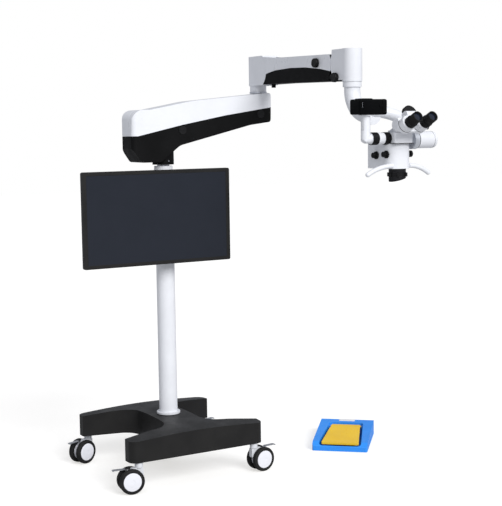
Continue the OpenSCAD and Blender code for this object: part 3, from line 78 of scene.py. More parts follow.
studioLights = {
    "sun": {"place": (1.5, -3.0, 3.0), "from": (0.08, -0.82, 0.55), "watts": 2.45, "softAngle": 32},
    "sheen": {"place": (-2.4, -3.4, 3.2), "aim": (0.2, -0.4, 1.2), "size": 2.6, "watts": 26},
    "sky": {"seen": (1.0, 1.0, 1.0, 1), "lighting": (0.42, 0.435, 0.475, 1)},
}
bpy.ops.object.light_add(type="SUN", location=studioLights["sun"]["place"])
sun = bpy.context.object
sun.name = "softSun"
sun.data.energy = studioLights["sun"]["watts"]
sun.data.angle = math.radians(studioLights["sun"]["softAngle"])
sun.rotation_mode = "QUATERNION"
sun.rotation_quaternion = Vector(studioLights["sun"]["from"]).to_track_quat("Z", "Y")

sheenAt = studioLights["sheen"]
bpy.ops.object.light_add(type="AREA", location=sheenAt["place"])
sheen = bpy.context.object
sheen.name = "sheenSoftbox"
sheen.data.size = sheenAt["size"]
sheen.data.energy = sheenAt["watts"]
sheen.rotation_mode = "QUATERNION"
sheen.rotation_quaternion = (Vector(sheenAt["aim"]) - Vector(sheenAt["place"])).to_track_quat("-Z", "Y")

# the numbers of a Mix node's sockets, for floats and for colours
mixFloat = {"share": 0, "first": 2, "second": 3, "out": 0}
mixColour = {"share": 0, "first": 6, "second": 7, "out": 2}

# a white backdrop that lights the object less than it shows
studio = bpy.data.worlds.new("paleStudio")
studio.use_nodes = True
skyTree = studio.node_tree
skyRay = skyTree.nodes.new("ShaderNodeLightPath")
skyTone = skyTree.nodes.new("ShaderNodeMix")
skyTone.data_type = "RGBA"
skyTone.inputs[mixColour["first"]].default_value = studioLights["sky"]["lighting"]
skyTone.inputs[mixColour["second"]].default_value = studioLights["sky"]["seen"]
skyTree.links.new(skyRay.outputs["Is Camera Ray"], skyTone.inputs[mixColour["share"]])
skyTree.links.new(skyTone.outputs[mixColour["out"]], skyTree.nodes["Background"].inputs["Color"])
bpy.context.scene.world = studio
bpy.context.scene.view_settings.view_transform = "Standard"
print("camera and lights placed")


# shared effects
def newGroup(name, inputs, outputs):
    group = bpy.data.node_groups.new(name, "ShaderNodeTree")
    for label, kind, value in inputs:
        socket = group.interface.new_socket(label, in_out="INPUT", socket_type=kind)
        socket.default_value = value
    for label, kind in outputs:
        group.interface.new_socket(label, in_out="OUTPUT", socket_type=kind)
    return group, group.nodes.new("NodeGroupInput"), group.nodes.new("NodeGroupOutput")


def addNode(tree, kind, settings=(), values=()):
    node = tree.nodes.new(kind)
    for key, value in dict(settings).items():
        setattr(node, key, value)
    for key, value in dict(values).items():
        node.inputs[key].default_value = value
    return node


# fine surface texture of paint or moulded plastic: height for a bump
skinGroup, skinIn, skinOut = newGroup("surfaceSkin", [
    ("Vector", "NodeSocketVector", (0, 0, 0)),
    ("Size", "NodeSocketFloat", 400.0),
    ("Coarse Size", "NodeSocketFloat", 60.0),
    ("Coarse Share", "NodeSocketFloat", 0.3),
], [("Height", "NodeSocketFloat")])
fineNoise = addNode(skinGroup, "ShaderNodeTexNoise", values={"Detail": 3.0, "Roughness": 0.6})
coarseNoise = addNode(skinGroup, "ShaderNodeTexNoise", values={"Detail": 2.0})
skinMix = addNode(skinGroup, "ShaderNodeMix")
skinGroup.links.new(skinIn.outputs["Vector"], fineNoise.inputs["Vector"])
skinGroup.links.new(skinIn.outputs["Size"], fineNoise.inputs["Scale"])
skinGroup.links.new(skinIn.outputs["Vector"], coarseNoise.inputs["Vector"])
skinGroup.links.new(skinIn.outputs["Coarse Size"], coarseNoise.inputs["Scale"])
skinGroup.links.new(skinIn.outputs["Coarse Share"], skinMix.inputs[mixFloat["share"]])
skinGroup.links.new(fineNoise.outputs["Fac"], skinMix.inputs[mixFloat["first"]])
skinGroup.links.new(coarseNoise.outputs["Fac"], skinMix.inputs[mixFloat["second"]])
skinGroup.links.new(skinMix.outputs[mixFloat["out"]], skinOut.inputs["Height"])

# soft handling marks: a roughness that wanders between two values
smudgeGroup, smudgeIn, smudgeOut = newGroup("handlingMarks", [
    ("Vector", "NodeSocketVector", (0, 0, 0)),
    ("Size", "NodeSocketFloat", 14.0),
    ("Clean", "NodeSocketFloat", 0.3),
    ("Worn", "NodeSocketFloat", 0.42),
], [("Roughness", "NodeSocketFloat"), ("Mask", "NodeSocketFloat")])
cloud = addNode(smudgeGroup, "ShaderNodeTexNoise",
                values={"Detail": 5.0, "Roughness": 0.62, "Distortion": 0.3})
spread = addNode(smudgeGroup, "ShaderNodeMapRange", values={"From Min": 0.35, "From Max": 0.68})
smudgeGroup.links.new(smudgeIn.outputs["Vector"], cloud.inputs["Vector"])
smudgeGroup.links.new(smudgeIn.outputs["Size"], cloud.inputs["Scale"])
smudgeGroup.links.new(cloud.outputs["Fac"], spread.inputs["Value"])
smudgeGroup.links.new(smudgeIn.outputs["Clean"], spread.inputs["To Min"])
smudgeGroup.links.new(smudgeIn.outputs["Worn"], spread.inputs["To Max"])
smudgeGroup.links.new(spread.outputs["Result"], smudgeOut.inputs["Roughness"])
smudgeGroup.links.new(cloud.outputs["Fac"], smudgeOut.inputs["Mask"])

# slight mottling of a base colour
toneGroup, toneIn, toneOut = newGroup("toneDrift", [
    ("Vector", "NodeSocketVector", (0, 0, 0)),
    ("Size", "NodeSocketFloat", 9.0),
    ("Colour", "NodeSocketColor", (0.8, 0.8, 0.8, 1)),
    ("Second Colour", "NodeSocketColor", (0.75, 0.75, 0.75, 1)),
], [("Colour", "NodeSocketColor")])
patches = addNode(toneGroup, "ShaderNodeTexNoise", values={"Detail": 4.0})
ramp = addNode(toneGroup, "ShaderNodeMapRange", values={"From Min": 0.38, "From Max": 0.62})
toneMix = addNode(toneGroup, "ShaderNodeMix", settings={"data_type": "RGBA"})
toneGroup.links.new(toneIn.outputs["Vector"], patches.inputs["Vector"])
toneGroup.links.new(toneIn.outputs["Size"], patches.inputs["Scale"])
toneGroup.links.new(patches.outputs["Fac"], ramp.inputs["Value"])
toneGroup.links.new(ramp.outputs["Result"], toneMix.inputs[mixColour["share"]])
toneGroup.links.new(toneIn.outputs["Colour"], toneMix.inputs[mixColour["first"]])
toneGroup.links.new(toneIn.outputs["Second Colour"], toneMix.inputs[mixColour["second"]])
toneGroup.links.new(toneMix.outputs[mixColour["out"]], toneOut.inputs["Colour"])


# a finish: two colours, two roughnesses, and a grain of fine size, coarse size and coarse share
def makeFinish(name, colour, second, clean, worn, grain=(400, 60, 0.3), bump=0.05, depth=0.0004, metal=0.0,
               coat=0.0, coatRough=0.1, specular=0.5, stretch=(1, 1, 1), toneSize=9.0, markSize=14.0,
               transmission=0.0):
    finish = bpy.data.materials.new(name)
    finish.use_nodes = True
    tree = finish.node_tree
    shader = tree.nodes["Principled BSDF"]
    coords = addNode(tree, "ShaderNodeTexCoord")
    mapping = addNode(tree, "ShaderNodeMapping", values={"Scale": stretch})
    tree.links.new(coords.outputs["Object"], mapping.inputs["Vector"])
    tone = addNode(tree, "ShaderNodeGroup", {"node_tree": toneGroup},
                   {"Size": toneSize, "Colour": (*colour, 1), "Second Colour": (*second, 1)})
    marks = addNode(tree, "ShaderNodeGroup", {"node_tree": smudgeGroup},
                    {"Size": markSize, "Clean": clean, "Worn": worn})
    skin = addNode(tree, "ShaderNodeGroup", {"node_tree": skinGroup},
                   {"Size": grain[0], "Coarse Size": grain[1], "Coarse Share": grain[2]})
    dent = addNode(tree, "ShaderNodeBump", values={"Strength": bump, "Distance": depth})
    for effect in (tone, marks, skin):
        tree.links.new(mapping.outputs["Vector"], effect.inputs["Vector"])
    tree.links.new(tone.outputs["Colour"], shader.inputs["Base Color"])
    tree.links.new(marks.outputs["Roughness"], shader.inputs["Roughness"])
    tree.links.new(skin.outputs["Height"], dent.inputs["Height"])
    tree.links.new(dent.outputs["Normal"], shader.inputs["Normal"])
    shader.inputs["Metallic"].default_value = metal
    shader.inputs["Coat Weight"].default_value = coat
    shader.inputs["Coat Roughness"].default_value = coatRough
    shader.inputs["Specular IOR Level"].default_value = specular
    shader.inputs["Transmission Weight"].default_value = transmission
    return finish


whitePaint = makeFinish("powderWhitePaint", (0.83, 0.84, 0.87), (0.79, 0.80, 0.83), 0.34, 0.44,
                        grain=(900, 240, 0.4), bump=0.12, depth=0.0002, coat=0.25, coatRough=0.25)
whiteMoulding = makeFinish("whiteMoulding", (0.84, 0.85, 0.88), (0.81, 0.82, 0.85), 0.26, 0.38,
                           grain=(700, 120, 0.3), bump=0.06, depth=0.0002, coat=0.2, coatRough=0.2)
armBlack = makeFinish("armBlack", (0.0045, 0.0045, 0.0047), (0.0065, 0.0065, 0.0068), 0.46, 0.6,
                      grain=(1300, 500, 0.4), bump=0.3, depth=0.0003, specular=0.07)
blackMoulding = makeFinish("blackMoulding", (0.0115, 0.0112, 0.011), (0.0155, 0.015, 0.0145), 0.42, 0.55,
                           grain=(1300, 500, 0.4), bump=0.35, depth=0.0003, specular=0.2)
knobBlack = makeFinish("knobBlack", (0.006, 0.006, 0.0065), (0.009, 0.009, 0.0095), 0.38, 0.5,
                       grain=(1500, 600, 0.4), bump=0.2, depth=0.0002, specular=0.18)
cameraBlack = makeFinish("cameraBlack", (0.0020, 0.0022, 0.0026), (0.0035, 0.0037, 0.0042), 0.44, 0.56,
                         grain=(1600, 700, 0.5), bump=0.4, depth=0.0003, specular=0.045)
# rubber of the eyecups and the gasket; the same dark finish is the painted shade of the rings at the tilt
# hub and the drum seams
rubberAndSeamShade = makeFinish("rubberAndSeamShade", (0.0065, 0.0065, 0.007), (0.011, 0.011, 0.011), 0.6, 0.75,
                          grain=(1200, 300, 0.5), bump=0.3, depth=0.0003, specular=0.22)
anodisedBlack = makeFinish("anodisedBlack", (0.012, 0.012, 0.0135), (0.017, 0.017, 0.0185), 0.3, 0.42,
                           grain=(1400, 300, 0.2), bump=0.08, depth=0.0002, metal=0.4, specular=0.25)
# satin silver of the metal parts; the same finish is the painted highlight of the camera's seam line
silverAndSeamHighlight = makeFinish("silverAndSeamHighlight", (0.66, 0.68, 0.72), (0.6, 0.62, 0.66), 0.34, 0.46,
                         grain=(1500, 260, 0.2), bump=0.08, depth=0.0002, metal=0.7)
brushedSteel = makeFinish("brushedSteel", (0.55, 0.56, 0.58), (0.46, 0.47, 0.49), 0.24, 0.36,
                          grain=(900, 300, 0.3), bump=0.15, depth=0.0002, metal=1.0, stretch=(1, 1, 14))
darkSteel = makeFinish("darkSteel", (0.04, 0.04, 0.045), (0.055, 0.053, 0.052), 0.4, 0.55,
                       grain=(700, 120, 0.5), bump=0.2, depth=0.0003, metal=0.3)
casterGrey = makeFinish("casterGrey", (0.72, 0.73, 0.76), (0.66, 0.67, 0.7), 0.34, 0.46,
                        grain=(900, 200, 0.3), bump=0.1, depth=0.0002)
tyreRubber = makeFinish("tyreRubber", (0.008, 0.008, 0.0085), (0.014, 0.0135, 0.013), 0.55, 0.75,
                        grain=(800, 120, 0.5), bump=0.3, depth=0.0004, specular=0.22, toneSize=30)
hubWhite = makeFinish("hubWhite", (0.82, 0.82, 0.86), (0.78, 0.78, 0.82), 0.3, 0.42,
                      grain=(900, 200, 0.3), bump=0.08, depth=0.0002)
pedalBlue = makeFinish("pedalBlue", (0.026, 0.30, 0.94), (0.024, 0.27, 0.87), 0.40, 0.52,
                       grain=(1100, 300, 0.5), bump=0.35, depth=0.0003)
treadleYellow = makeFinish("treadleYellow", (0.93, 0.60, 0.028), (0.88, 0.55, 0.024), 0.44, 0.58,
                           grain=(1000, 250, 0.5), bump=0.35, depth=0.0003)
screenDark = makeFinish("screenDark", (0.0195, 0.0225, 0.031), (0.0185, 0.0215, 0.0295), 0.16, 0.22,
                        grain=(2500, 900, 0.2), bump=0.01, depth=0.0001, specular=0.15, markSize=4)
lensGlass = makeFinish("coatedGlass", (0.006, 0.011, 0.024), (0.006, 0.010, 0.022), 0.06, 0.1, bump=0.0,
                       coat=0.35, coatRough=0.06)
clearGlass = makeFinish("clearGlass", (0.85, 0.9, 0.94), (0.84, 0.89, 0.93), 0.02, 0.04, bump=0.0,
                        transmission=1.0)

# the floor glows for the camera alone, so that it meets the white backdrop without a line
paleFloor = makeFinish("paleFloor", (0.56, 0.56, 0.56), (0.555, 0.555, 0.555), 0.8, 0.9,
                       bump=0.02, specular=0.1)
floorTree = paleFloor.node_tree
floorShader = floorTree.nodes["Principled BSDF"]
floorShader.inputs["Emission Color"].default_value = (0.6, 0.59, 0.57, 1)
floorRay = addNode(floorTree, "ShaderNodeLightPath")
floorTree.links.new(floorRay.outputs["Is Camera Ray"], floorShader.inputs["Emission Strength"])

finishOfSlot = {
    "white_paint": whitePaint, "white_cover": whiteMoulding, "black_cover": blackMoulding,
    "black_knob": knobBlack, "black_metal": anodisedBlack, "grey_plastic": casterGrey,
    "silver_metal": silverAndSeamHighlight, "steel_bright": brushedSteel, "steel_frame": darkSteel,
    "tyre_black": tyreRubber, "screen_glass": screenDark, "lens_glass": clearGlass,
    "pedal_blue": pedalBlue, "pedal_yellow": treadleYellow,
}
finishOfNode = {"arm_bottom_cover": armBlack, "spring_arm_lower_cover": armBlack}
print("finishes built")

# how meshes are cleaned and shaded
meshCare = {
    "sameSkinPoint": 0.00003,       # points closer than this are merged
    "sameTurnedPoint": 0.000005,
    "sameFlat": 0.7,                # angles are in degrees
    "smooth": 32,
    "sharp": 32,
    "sharpSkin": 35,
    "evenWeight": 80,               # pull of the large faces on the shading, in percent
    "sideTilt": 0.3,                # a face whose normal tilts less than this is a side face
    "fluteShare": 0.35,             # slope of a groove, as a share of its depth
}


# hand tools
def only(piece):
    if bpy.context.object and bpy.context.object.mode != "OBJECT":
        bpy.ops.object.mode_set(mode="OBJECT")
    bpy.ops.object.select_all(action="DESELECT")
    piece.select_set(True)
    bpy.context.view_layer.objects.active = piece


def applyModifiers(piece):
    only(piece)
    for modifier in list(piece.modifiers):
        bpy.ops.object.modifier_apply(modifier=modifier.name)


def roundEdges(piece, width, segments, angle=meshCare["sharp"]):
    bevel = piece.modifiers.new("edgeRound", "BEVEL")
    bevel.width = width
    bevel.segments = segments
    bevel.limit_method = "ANGLE"
    bevel.angle_limit = math.radians(angle)
    bevel.miter_outer = "MITER_ARC"
    applyModifiers(piece)


# gives a piece its shading, its finish and its body, and hides the nodes that it stands for
def settle(piece, body, finish, replaced=(), smooth=meshCare["smooth"]):
    only(piece)
    bpy.ops.object.transform_apply(location=True, rotation=True, scale=True)
    bpy.ops.object.shade_smooth_by_angle(angle=math.radians(smooth))
    evenLight = piece.modifiers.new("evenLight", "WEIGHTED_NORMAL")
    evenLight.keep_sharp = True
    evenLight.weight = meshCare["evenWeight"]
    applyModifiers(piece)
    piece.data.materials.clear()
    piece.data.materials.append(finish)
    if replaced:
        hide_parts(*replaced)
    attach(piece, body)


# a CAD node's own shape, merged and with its edges rounded
def dressNode(node, edge, segments):
    piece = bpy.data.objects.new(node + "_skin", nodes[node].data.copy())
    bpy.context.scene.collection.objects.link(piece)
    only(piece)
    bpy.ops.object.mode_set(mode="EDIT")
    bpy.ops.mesh.select_all(action="SELECT")
    bpy.ops.mesh.remove_doubles(threshold=meshCare["sameSkinPoint"])
    bpy.ops.mesh.dissolve_limited(angle_limit=math.radians(meshCare["sameFlat"]))
    bpy.ops.object.mode_set(mode="OBJECT")
    if edge:
        roundEdges(piece, edge, segments, meshCare["sharpSkin"])
    finish = finishOfNode.get(node, finishOfSlot[slotOf[node]])
    settle(piece, bodyOf[node], finish, (node,))


# a turned piece: a ring pulled up along Z through (radius, height) steps
def turned(name, steps, segments, capped=True):
    bpy.ops.object.select_all(action="DESELECT")
    bpy.ops.mesh.primitive_circle_add(vertices=segments, radius=steps[0][0], location=(0, 0, 0),
                                      fill_type="NGON" if capped else "NOTHING")
    piece = bpy.context.object
    piece.name = name
    bpy.ops.object.mode_set(mode="EDIT")
    bpy.ops.mesh.select_mode(type="VERT")
    bpy.ops.mesh.select_all(action="SELECT")
    bpy.ops.transform.translate(value=(0, 0, steps[0][1]))
    radius, height = steps[0]
    for nextRadius, nextHeight in steps[1:]:
        bpy.ops.mesh.extrude_region_move(TRANSFORM_OT_translate={"value": (0, 0, nextHeight - height)})
        share = nextRadius / radius
        bpy.ops.transform.resize(value=(share, share, 1), center_override=(0, 0, nextHeight))
        radius, height = nextRadius, nextHeight
    bpy.ops.mesh.select_all(action="SELECT")
    bpy.ops.mesh.remove_doubles(threshold=meshCare["sameTurnedPoint"])
    bpy.ops.mesh.normals_make_consistent(inside=False)
    bpy.ops.object.mode_set(mode="OBJECT")
    return piece


# turns a piece's Z along a line and moves it to its place
def sendTo(piece, place, along):
    piece.rotation_mode = "QUATERNION"
    piece.rotation_quaternion = Vector(along).to_track_quat("Z", "X")
    piece.location = place
    only(piece)
    bpy.ops.object.transform_apply(location=True, rotation=True, scale=True)
    return piece


# sinks every second side face of a turned piece, before it is sent to its place
def flute(piece, low, high, thick, depth):
    only(piece)
    bpy.ops.object.mode_set(mode="EDIT")
    bpy.ops.mesh.select_mode(type="FACE")
    bpy.ops.mesh.select_all(action="DESELECT")
    bpy.ops.object.mode_set(mode="OBJECT")
    side = []
    for face in piece.data.polygons:
        if abs(face.normal.z) < meshCare["sideTilt"] and low < face.center.z < high:
            side.append((math.atan2(face.center.y, face.center.x), face.index))
    side.sort()
    for k, (_, index) in enumerate(side):
        piece.data.polygons[index].select = k % 2 == 0
    bpy.ops.object.mode_set(mode="EDIT")
    bpy.ops.mesh.inset(thickness=thick, depth=-depth, use_individual=True)
    bpy.ops.object.mode_set(mode="OBJECT")


# takes away what lies on one side of a plane
def cutOff(piece, spot, toward):
    only(piece)
    bpy.ops.object.mode_set(mode="EDIT")
    bpy.ops.mesh.select_all(action="SELECT")
    bpy.ops.mesh.bisect(plane_co=spot, plane_no=toward, use_fill=True, clear_outer=True)
    bpy.ops.object.mode_set(mode="OBJECT")


# a turned piece, fluted if asked for, sent to its place and settled there
def placeTurned(name, steps, place, along, body, finish, replaced=(), segments=72, capped=True,
                flutes=None, smooth=meshCare["smooth"]):
    piece = turned(name, steps, segments, capped)
    if flutes:
        flute(piece, **flutes)
    sendTo(piece, place, along)
    settle(piece, body, finish, replaced, smooth)


# a rounded block with its size along each axis, at a centre
def block(name, centre, size, edge, segments, turnZ=0.0, tiltX=0.0):
    bpy.ops.object.select_all(action="DESELECT")
    bpy.ops.mesh.primitive_cube_add(size=1, location=(0, 0, 0))
    piece = bpy.context.object
    piece.name = name
    piece.scale = size
    bpy.ops.object.transform_apply(location=False, rotation=False, scale=True)
    roundEdges(piece, edge, segments)
    piece.rotation_euler = (tiltX, 0, turnZ)
    piece.location = centre
    only(piece)
    bpy.ops.object.transform_apply(location=True, rotation=True, scale=False)
    return piece


def joinAll(name, parts):
    bpy.ops.object.select_all(action="DESELECT")
    for part in parts:
        part.select_set(True)
    bpy.context.view_layer.objects.active = parts[0]
    bpy.ops.object.join()
    parts[0].name = name
    return parts[0]


# a socket-head screw: radii and heights are shares of the head's radius
screwShares = [(0.45, -0.7), (1, -0.7), (1, 0.12), (0.86, 0.26), (0.5, 0.26), (0.46, -0.25), (0.05, -0.3)]


def screw(name, place, along, radius, body):
    steps = [(radius * share, radius * rise) for share, rise in screwShares]
    placeTurned(name, steps, place, along, body, brushedSteel, segments=24)


# a ring that trims a round part, from one height to another, with or without fine grooves
def trimRing(name, place, along, body, slot, finish, inner, outer, low, high, edge, segments=96, grooves=0):
    steps = [(inner, low), (outer - edge, low), (outer, low + edge), (outer, high - edge),
             (outer - edge, high), (inner, high), (inner, low)]
    flutes = {"low": low + edge, "high": high - edge, "thick": grooves * meshCare["fluteShare"],
              "depth": grooves}
    placeTurned(name, steps, place, along, body, finish, segments=segments, capped=False,
                flutes=flutes if grooves else None)


# floor, a hair below the wheels
floorPlan = {"size": 40, "place": (0, 0, -0.0005)}
bpy.ops.mesh.primitive_plane_add(size=floorPlan["size"], location=floorPlan["place"])
floorPlane = bpy.context.object
floorPlane.name = "studioFloor"
floorPlane.data.materials.append(paleFloor)

# casters: two tyres and two domed hub caps on one axle
casterSet = {
    "corners": ("front_left", "front_right", "rear_left", "rear_right"),
    "axle": [(0.006, -0.0125), (0.006, 0.0125)],
    "tyre": [(0.0362, 0.0114), (0.0452, 0.0114), (0.0488, 0.0132), (0.05, 0.0162), (0.05, 0.0204),
             (0.0494, 0.0208), (0.0494, 0.0222), (0.05, 0.0226), (0.05, 0.0268), (0.0488, 0.0300),
             (0.0452, 0.0319), (0.0388, 0.0319), (0.0380, 0.0308), (0.0362, 0.0306), (0.0362, 0.0114)],
    "cap": [(0.0063, 0.0114), (0.0364, 0.0114), (0.0364, 0.0308), (0.0356, 0.0320), (0.0300, 0.0328),
            (0.0160, 0.0333), (0.0090, 0.0334), (0.0084, 0.0328), (0.0012, 0.0328)],
}
for corner in casterSet["corners"]:
    node = corner + "_caster_wheels"
    body = bodyOf[node]
    hub = placeOf[corner + "_wheels_spin"]
    axleLine = axisOf[corner + "_wheels_spin"]
    for side, sideName in ((1, "outer"), (-1, "inner")):
        placeTurned(corner + "_tyre_" + sideName, casterSet["tyre"], hub, axleLine * side,
                    body, tyreRubber, (node,), capped=False)
        placeTurned(corner + "_hubcap_" + sideName, casterSet["cap"], hub, axleLine * side,
                    body, hubWhite, (node,))
    placeTurned(corner + "_axle", casterSet["axle"], hub, axleLine,
                body, brushedSteel, (node,), segments=32)
print("casters built")

# fluted side knobs of the spring arm, on its side face
sideKnobs = {
    "joints": {"balance_knob": "balance_turn", "front_lock_knob": "front_lock_turn"},
    "profile": [(0.005, -0.010), (0.005, 0.0004), (0.0162, 0.0004), (0.0176, 0.0014), (0.0180, 0.0026),
                (0.0180, 0.0124), (0.0172, 0.0146), (0.0150, 0.0157), (0.0118, 0.0154), (0.0105, 0.0148),
                (0.0020, 0.0148)],
    "flutes": {"low": 0.0027, "high": 0.0123, "thick": 0.00022, "depth": 0.0009},
    "face": placeOf["spring_arm_lift"].x - 0.0383,
}
for node, joint in sideKnobs["joints"].items():
    knobSpot = (sideKnobs["face"], placeOf[joint].y, placeOf[joint].z)
    placeTurned(node + "_grip", sideKnobs["profile"], knobSpot, (-1, 0, 0), bodyOf[node],
                knobBlack, (node,), segments=64, flutes=sideKnobs["flutes"])

# knurled sleeves over the stepped knobs, on the head's left face
knurl = 0.0006
headKnobs = {
    "nodes": {"magnification": "magnification_changer", "filter": "filter_knob"},
    "face": optics.x - 0.0503,
    "sleeves": {
        "_rim": {"inner": 0.0122, "outer": 0.0139, "low": 0.0006, "high": 0.0066, "edge": 0.0006,
                 "segments": 64, "grooves": knurl},
        "_tip": {"inner": 0.0088, "outer": 0.0101, "low": 0.0082, "high": 0.0180, "edge": 0.0004,
                 "segments": 48, "grooves": knurl},
    },
}
for name, node in headKnobs["nodes"].items():
    knobJoint = placeOf[name + "_turn"]
    for ending, ring in headKnobs["sleeves"].items():
        trimRing(name + ending, (headKnobs["face"], knobJoint.y, knobJoint.z), (-1, 0, 0),
                 bodyOf[node], "black_knob", knobBlack, **ring)
print("knobs built")

# eyepieces: fluted diopter ring, ribbed rubber cup and a coated glass sunk in it
eyepiece = {
    "out": 0.0663,      # from the diopter's joint to the face of the drum
    "ring": [(0.0180, -0.0040), (0.0180, 0.0006), (0.0205, 0.0006), (0.0213, 0.0014), (0.0213, 0.0184),
             (0.0205, 0.0194), (0.0186, 0.0198)],
    "flutes": {"low": 0.0015, "high": 0.0183, "thick": 0.00018, "depth": 0.0007},
    "cupFoot": [(0.0176, 0.0196), (0.0187, 0.0202)],
    "rib": [(0.0193, 0.0216), (0.0193, 0.0242), (0.0185, 0.0250)],
    "ribs": 6, "ribPitch": 0.0045,
    "cupMouth": [(0.0190, 0.0500), (0.0191, 0.0525), (0.0184, 0.0540), (0.0170, 0.0541), (0.0148, 0.0500),
                 (0.0143, 0.0462), (0.0100, 0.0461)],
    "glass": [(0.0142, 0.0456), (0.0142, 0.0462), (0.0115, 0.0470), (0.0070, 0.0476), (0.0010, 0.0478)],
    "cupSmooth": 50, "glassSmooth": 60,
}
cupRibs = [(r, h + eyepiece["ribPitch"] * k) for k in range(eyepiece["ribs"]) for r, h in eyepiece["rib"]]
cupSteps = eyepiece["cupFoot"] + cupRibs + eyepiece["cupMouth"]
for side in ("left", "right"):
    node = side + "_eyepiece"
    body = bodyOf[node]
    eyeSpot = placeOf[side + "_diopter"] + eyeLine * eyepiece["out"]
    placeTurned(node + "_ring", eyepiece["ring"], eyeSpot, eyeLine, body,
                knobBlack, (node,), segments=96, flutes=eyepiece["flutes"])
    placeTurned(node + "_cup", cupSteps, eyeSpot, eyeLine, body,
                rubberAndSeamShade, (node,), segments=72, smooth=eyepiece["cupSmooth"])
    placeTurned(node + "_glass", eyepiece["glass"], eyeSpot, eyeLine, body,
                lensGlass, (node,), segments=48, smooth=eyepiece["glassSmooth"])
print("eyepieces built")

# photo port: its height, and how far to the left its elbow stands
portPlan = {"height": 1.3695, "out": 0.1385}
elbowSpot = Vector((optics.x - portPlan["out"], optics.y, portPlan["height"]))

# camera lying on its back, with the lens mount below
cameraPlan = {
    "middle": elbowSpot + Vector((0.012, 0, 0.1115)),
    # each block's shift along X, lift, size, edge and edge segments
    "blocks": {
        "camera_body": (-0.0085, 0.0, (0.099, 0.066, 0.0535), 0.006, 4),
        "camera_grip": (0.0475, -0.0004, (0.022, 0.071, 0.0550), 0.0075, 5),
        "camera_screen_frame": (-0.0195, 0.0262, (0.046, 0.044, 0.006), 0.0016, 3),
        "camera_left_cap": (-0.0520, -0.0004, (0.013, 0.060, 0.045), 0.0055, 4),
    },
    # painted highlight: a thin silver strip that stands in for the light line along the seam of the camera
    # body
    "seam": (-0.0478, 0.0060, (0.0006, 0.0664, 0.0190), 0.0002, 1),
    "screen": (-0.0195, 0.0292, (0.040, 0.038, 0.0008), 0.0003, 1),
    # each dial's shift along X, radius and height
    "dials": ((0.030, 0.0070, 0.0030), (0.012, 0.0045, 0.0018), (-0.040, 0.0060, 0.0022)),
    "dialFace": Vector((0, -0.0320, 0.004)),
    "dialSink": 0.003, "dialEdge": 0.0006, "dialCentre": 0.0008,
    "dialFlutes": {"low": 0.0, "thick": 0.0001, "depth": 0.0003},
    "mountDrop": 0.0278,
    "mount": {"inner": 0.018, "outer": 0.0252, "low": -0.0004, "high": 0.0030, "edge": 0.0005,
              "segments": 72},
}
middle = cameraPlan["middle"]


def cameraBlock(name, plan, finish):
    shift, lift, size, edge, segments = plan
    piece = block(name, middle + Vector((shift, 0, lift)), size, edge, segments)
    settle(piece, "head", finish, ("camera",))


for name, plan in cameraPlan["blocks"].items():
    cameraBlock(name, plan, cameraBlack)
# painted highlight: the light line along the camera's seam, in satin silver
cameraBlock("camera_seam_highlight", cameraPlan["seam"], silverAndSeamHighlight)
for k, (shift, radius, height) in enumerate(cameraPlan["dials"]):
    brim = height - cameraPlan["dialEdge"]
    steps = [(radius, -cameraPlan["dialSink"]), (radius, brim), (radius - cameraPlan["dialEdge"], height),
             (cameraPlan["dialCentre"], height)]
    dialSpot = middle + cameraPlan["dialFace"] + Vector((shift, 0, 0))
    placeTurned("camera_dial_%d" % k, steps, dialSpot, (0, -1, 0), "head", cameraBlack,
                ("camera",), segments=40, flutes=dict(cameraPlan["dialFlutes"], high=brim))
cameraBlock("camera_screen", cameraPlan["screen"], screenDark)
trimRing("camera_mount", (elbowSpot.x, elbowSpot.y, middle.z - cameraPlan["mountDrop"]), (0, 0, 1),
         "head", "black_metal", anodisedBlack, **cameraPlan["mount"])
print("camera built")

# fluted sleeves of the port: how far along it each one starts and ends
sleevePlan = {
    "reach": {"port_sleeve_inner": (0.0400, 0.0655), "port_sleeve_outer": (0.0915, 0.1185)},
    "ring": {"inner": 0.0200, "outer": 0.0224, "edge": 0.0008, "grooves": knurl},
}
for name, (near, far) in sleevePlan["reach"].items():
    trimRing(name, (optics.x, optics.y, portPlan["height"]), (-1, 0, 0), "head", "black_knob", knobBlack,
             low=near, high=far, **sleevePlan["ring"])

# gasket under the beam splitter
gasketPlan = {"height": 1.3512, "size": (0.0853, 0.0853, 0.0021), "edge": 0.0004}
gasket = block("splitter_gasket", (optics.x, optics.y, gasketPlan["height"]), gasketPlan["size"],
               gasketPlan["edge"], segments=1)
settle(gasket, "head", rubberAndSeamShade)
print("sleeves built")

# black disc knob behind the binocular's hood, cut round the inclination knuckle
discKnob = {
    # its place from the inclination joint: to the right, along the line of sight and above that line
    "aside": 0.019, "along": 0.02005, "up": 0.036,
    "radius": 0.0279, "half": 0.00725, "capRadius": 0.01395, "edgeIn": 0.0006, "edgeDown": 0.0008,
    "backRise": 0.0005, "frontRise": 0.0004,
    "flutes": {"low": -0.00635, "high": 0.00635, "thick": 0.0002, "depth": 0.0006},
    "knuckleRoom": [(0.0237, -0.0206), (0.0237, 0.0206)],
}
radius = discKnob["radius"]
half = discKnob["half"]
edgeIn = discKnob["edgeIn"]
edgeDown = discKnob["edgeDown"]
knobDisc = turned("binocular_disc_knob", [
    (discKnob["capRadius"], -half - discKnob["backRise"]), (radius - edgeIn, -half),
    (radius, -half + edgeDown), (radius, half - edgeDown),
    (radius - edgeIn, half), (discKnob["capRadius"], half + discKnob["frontRise"]),
], segments=90)
flute(knobDisc, **discKnob["flutes"])
discShift = Vector((discKnob["aside"], 0, 0)) + eyeLine * discKnob["along"] + eyeUp * discKnob["up"]
sendTo(knobDisc, placeOf["inclination"] + discShift, eyeLine)
cutter = turned("knuckle_room", discKnob["knuckleRoom"], segments=64)
sendTo(cutter, placeOf["inclination"], (1, 0, 0))
room = knobDisc.modifiers.new("knuckleRoom", "BOOLEAN")
room.operation = "DIFFERENCE"
room.object = cutter
applyModifiers(knobDisc)
bpy.data.objects.remove(cutter)
settle(knobDisc, "binocular", knobBlack)
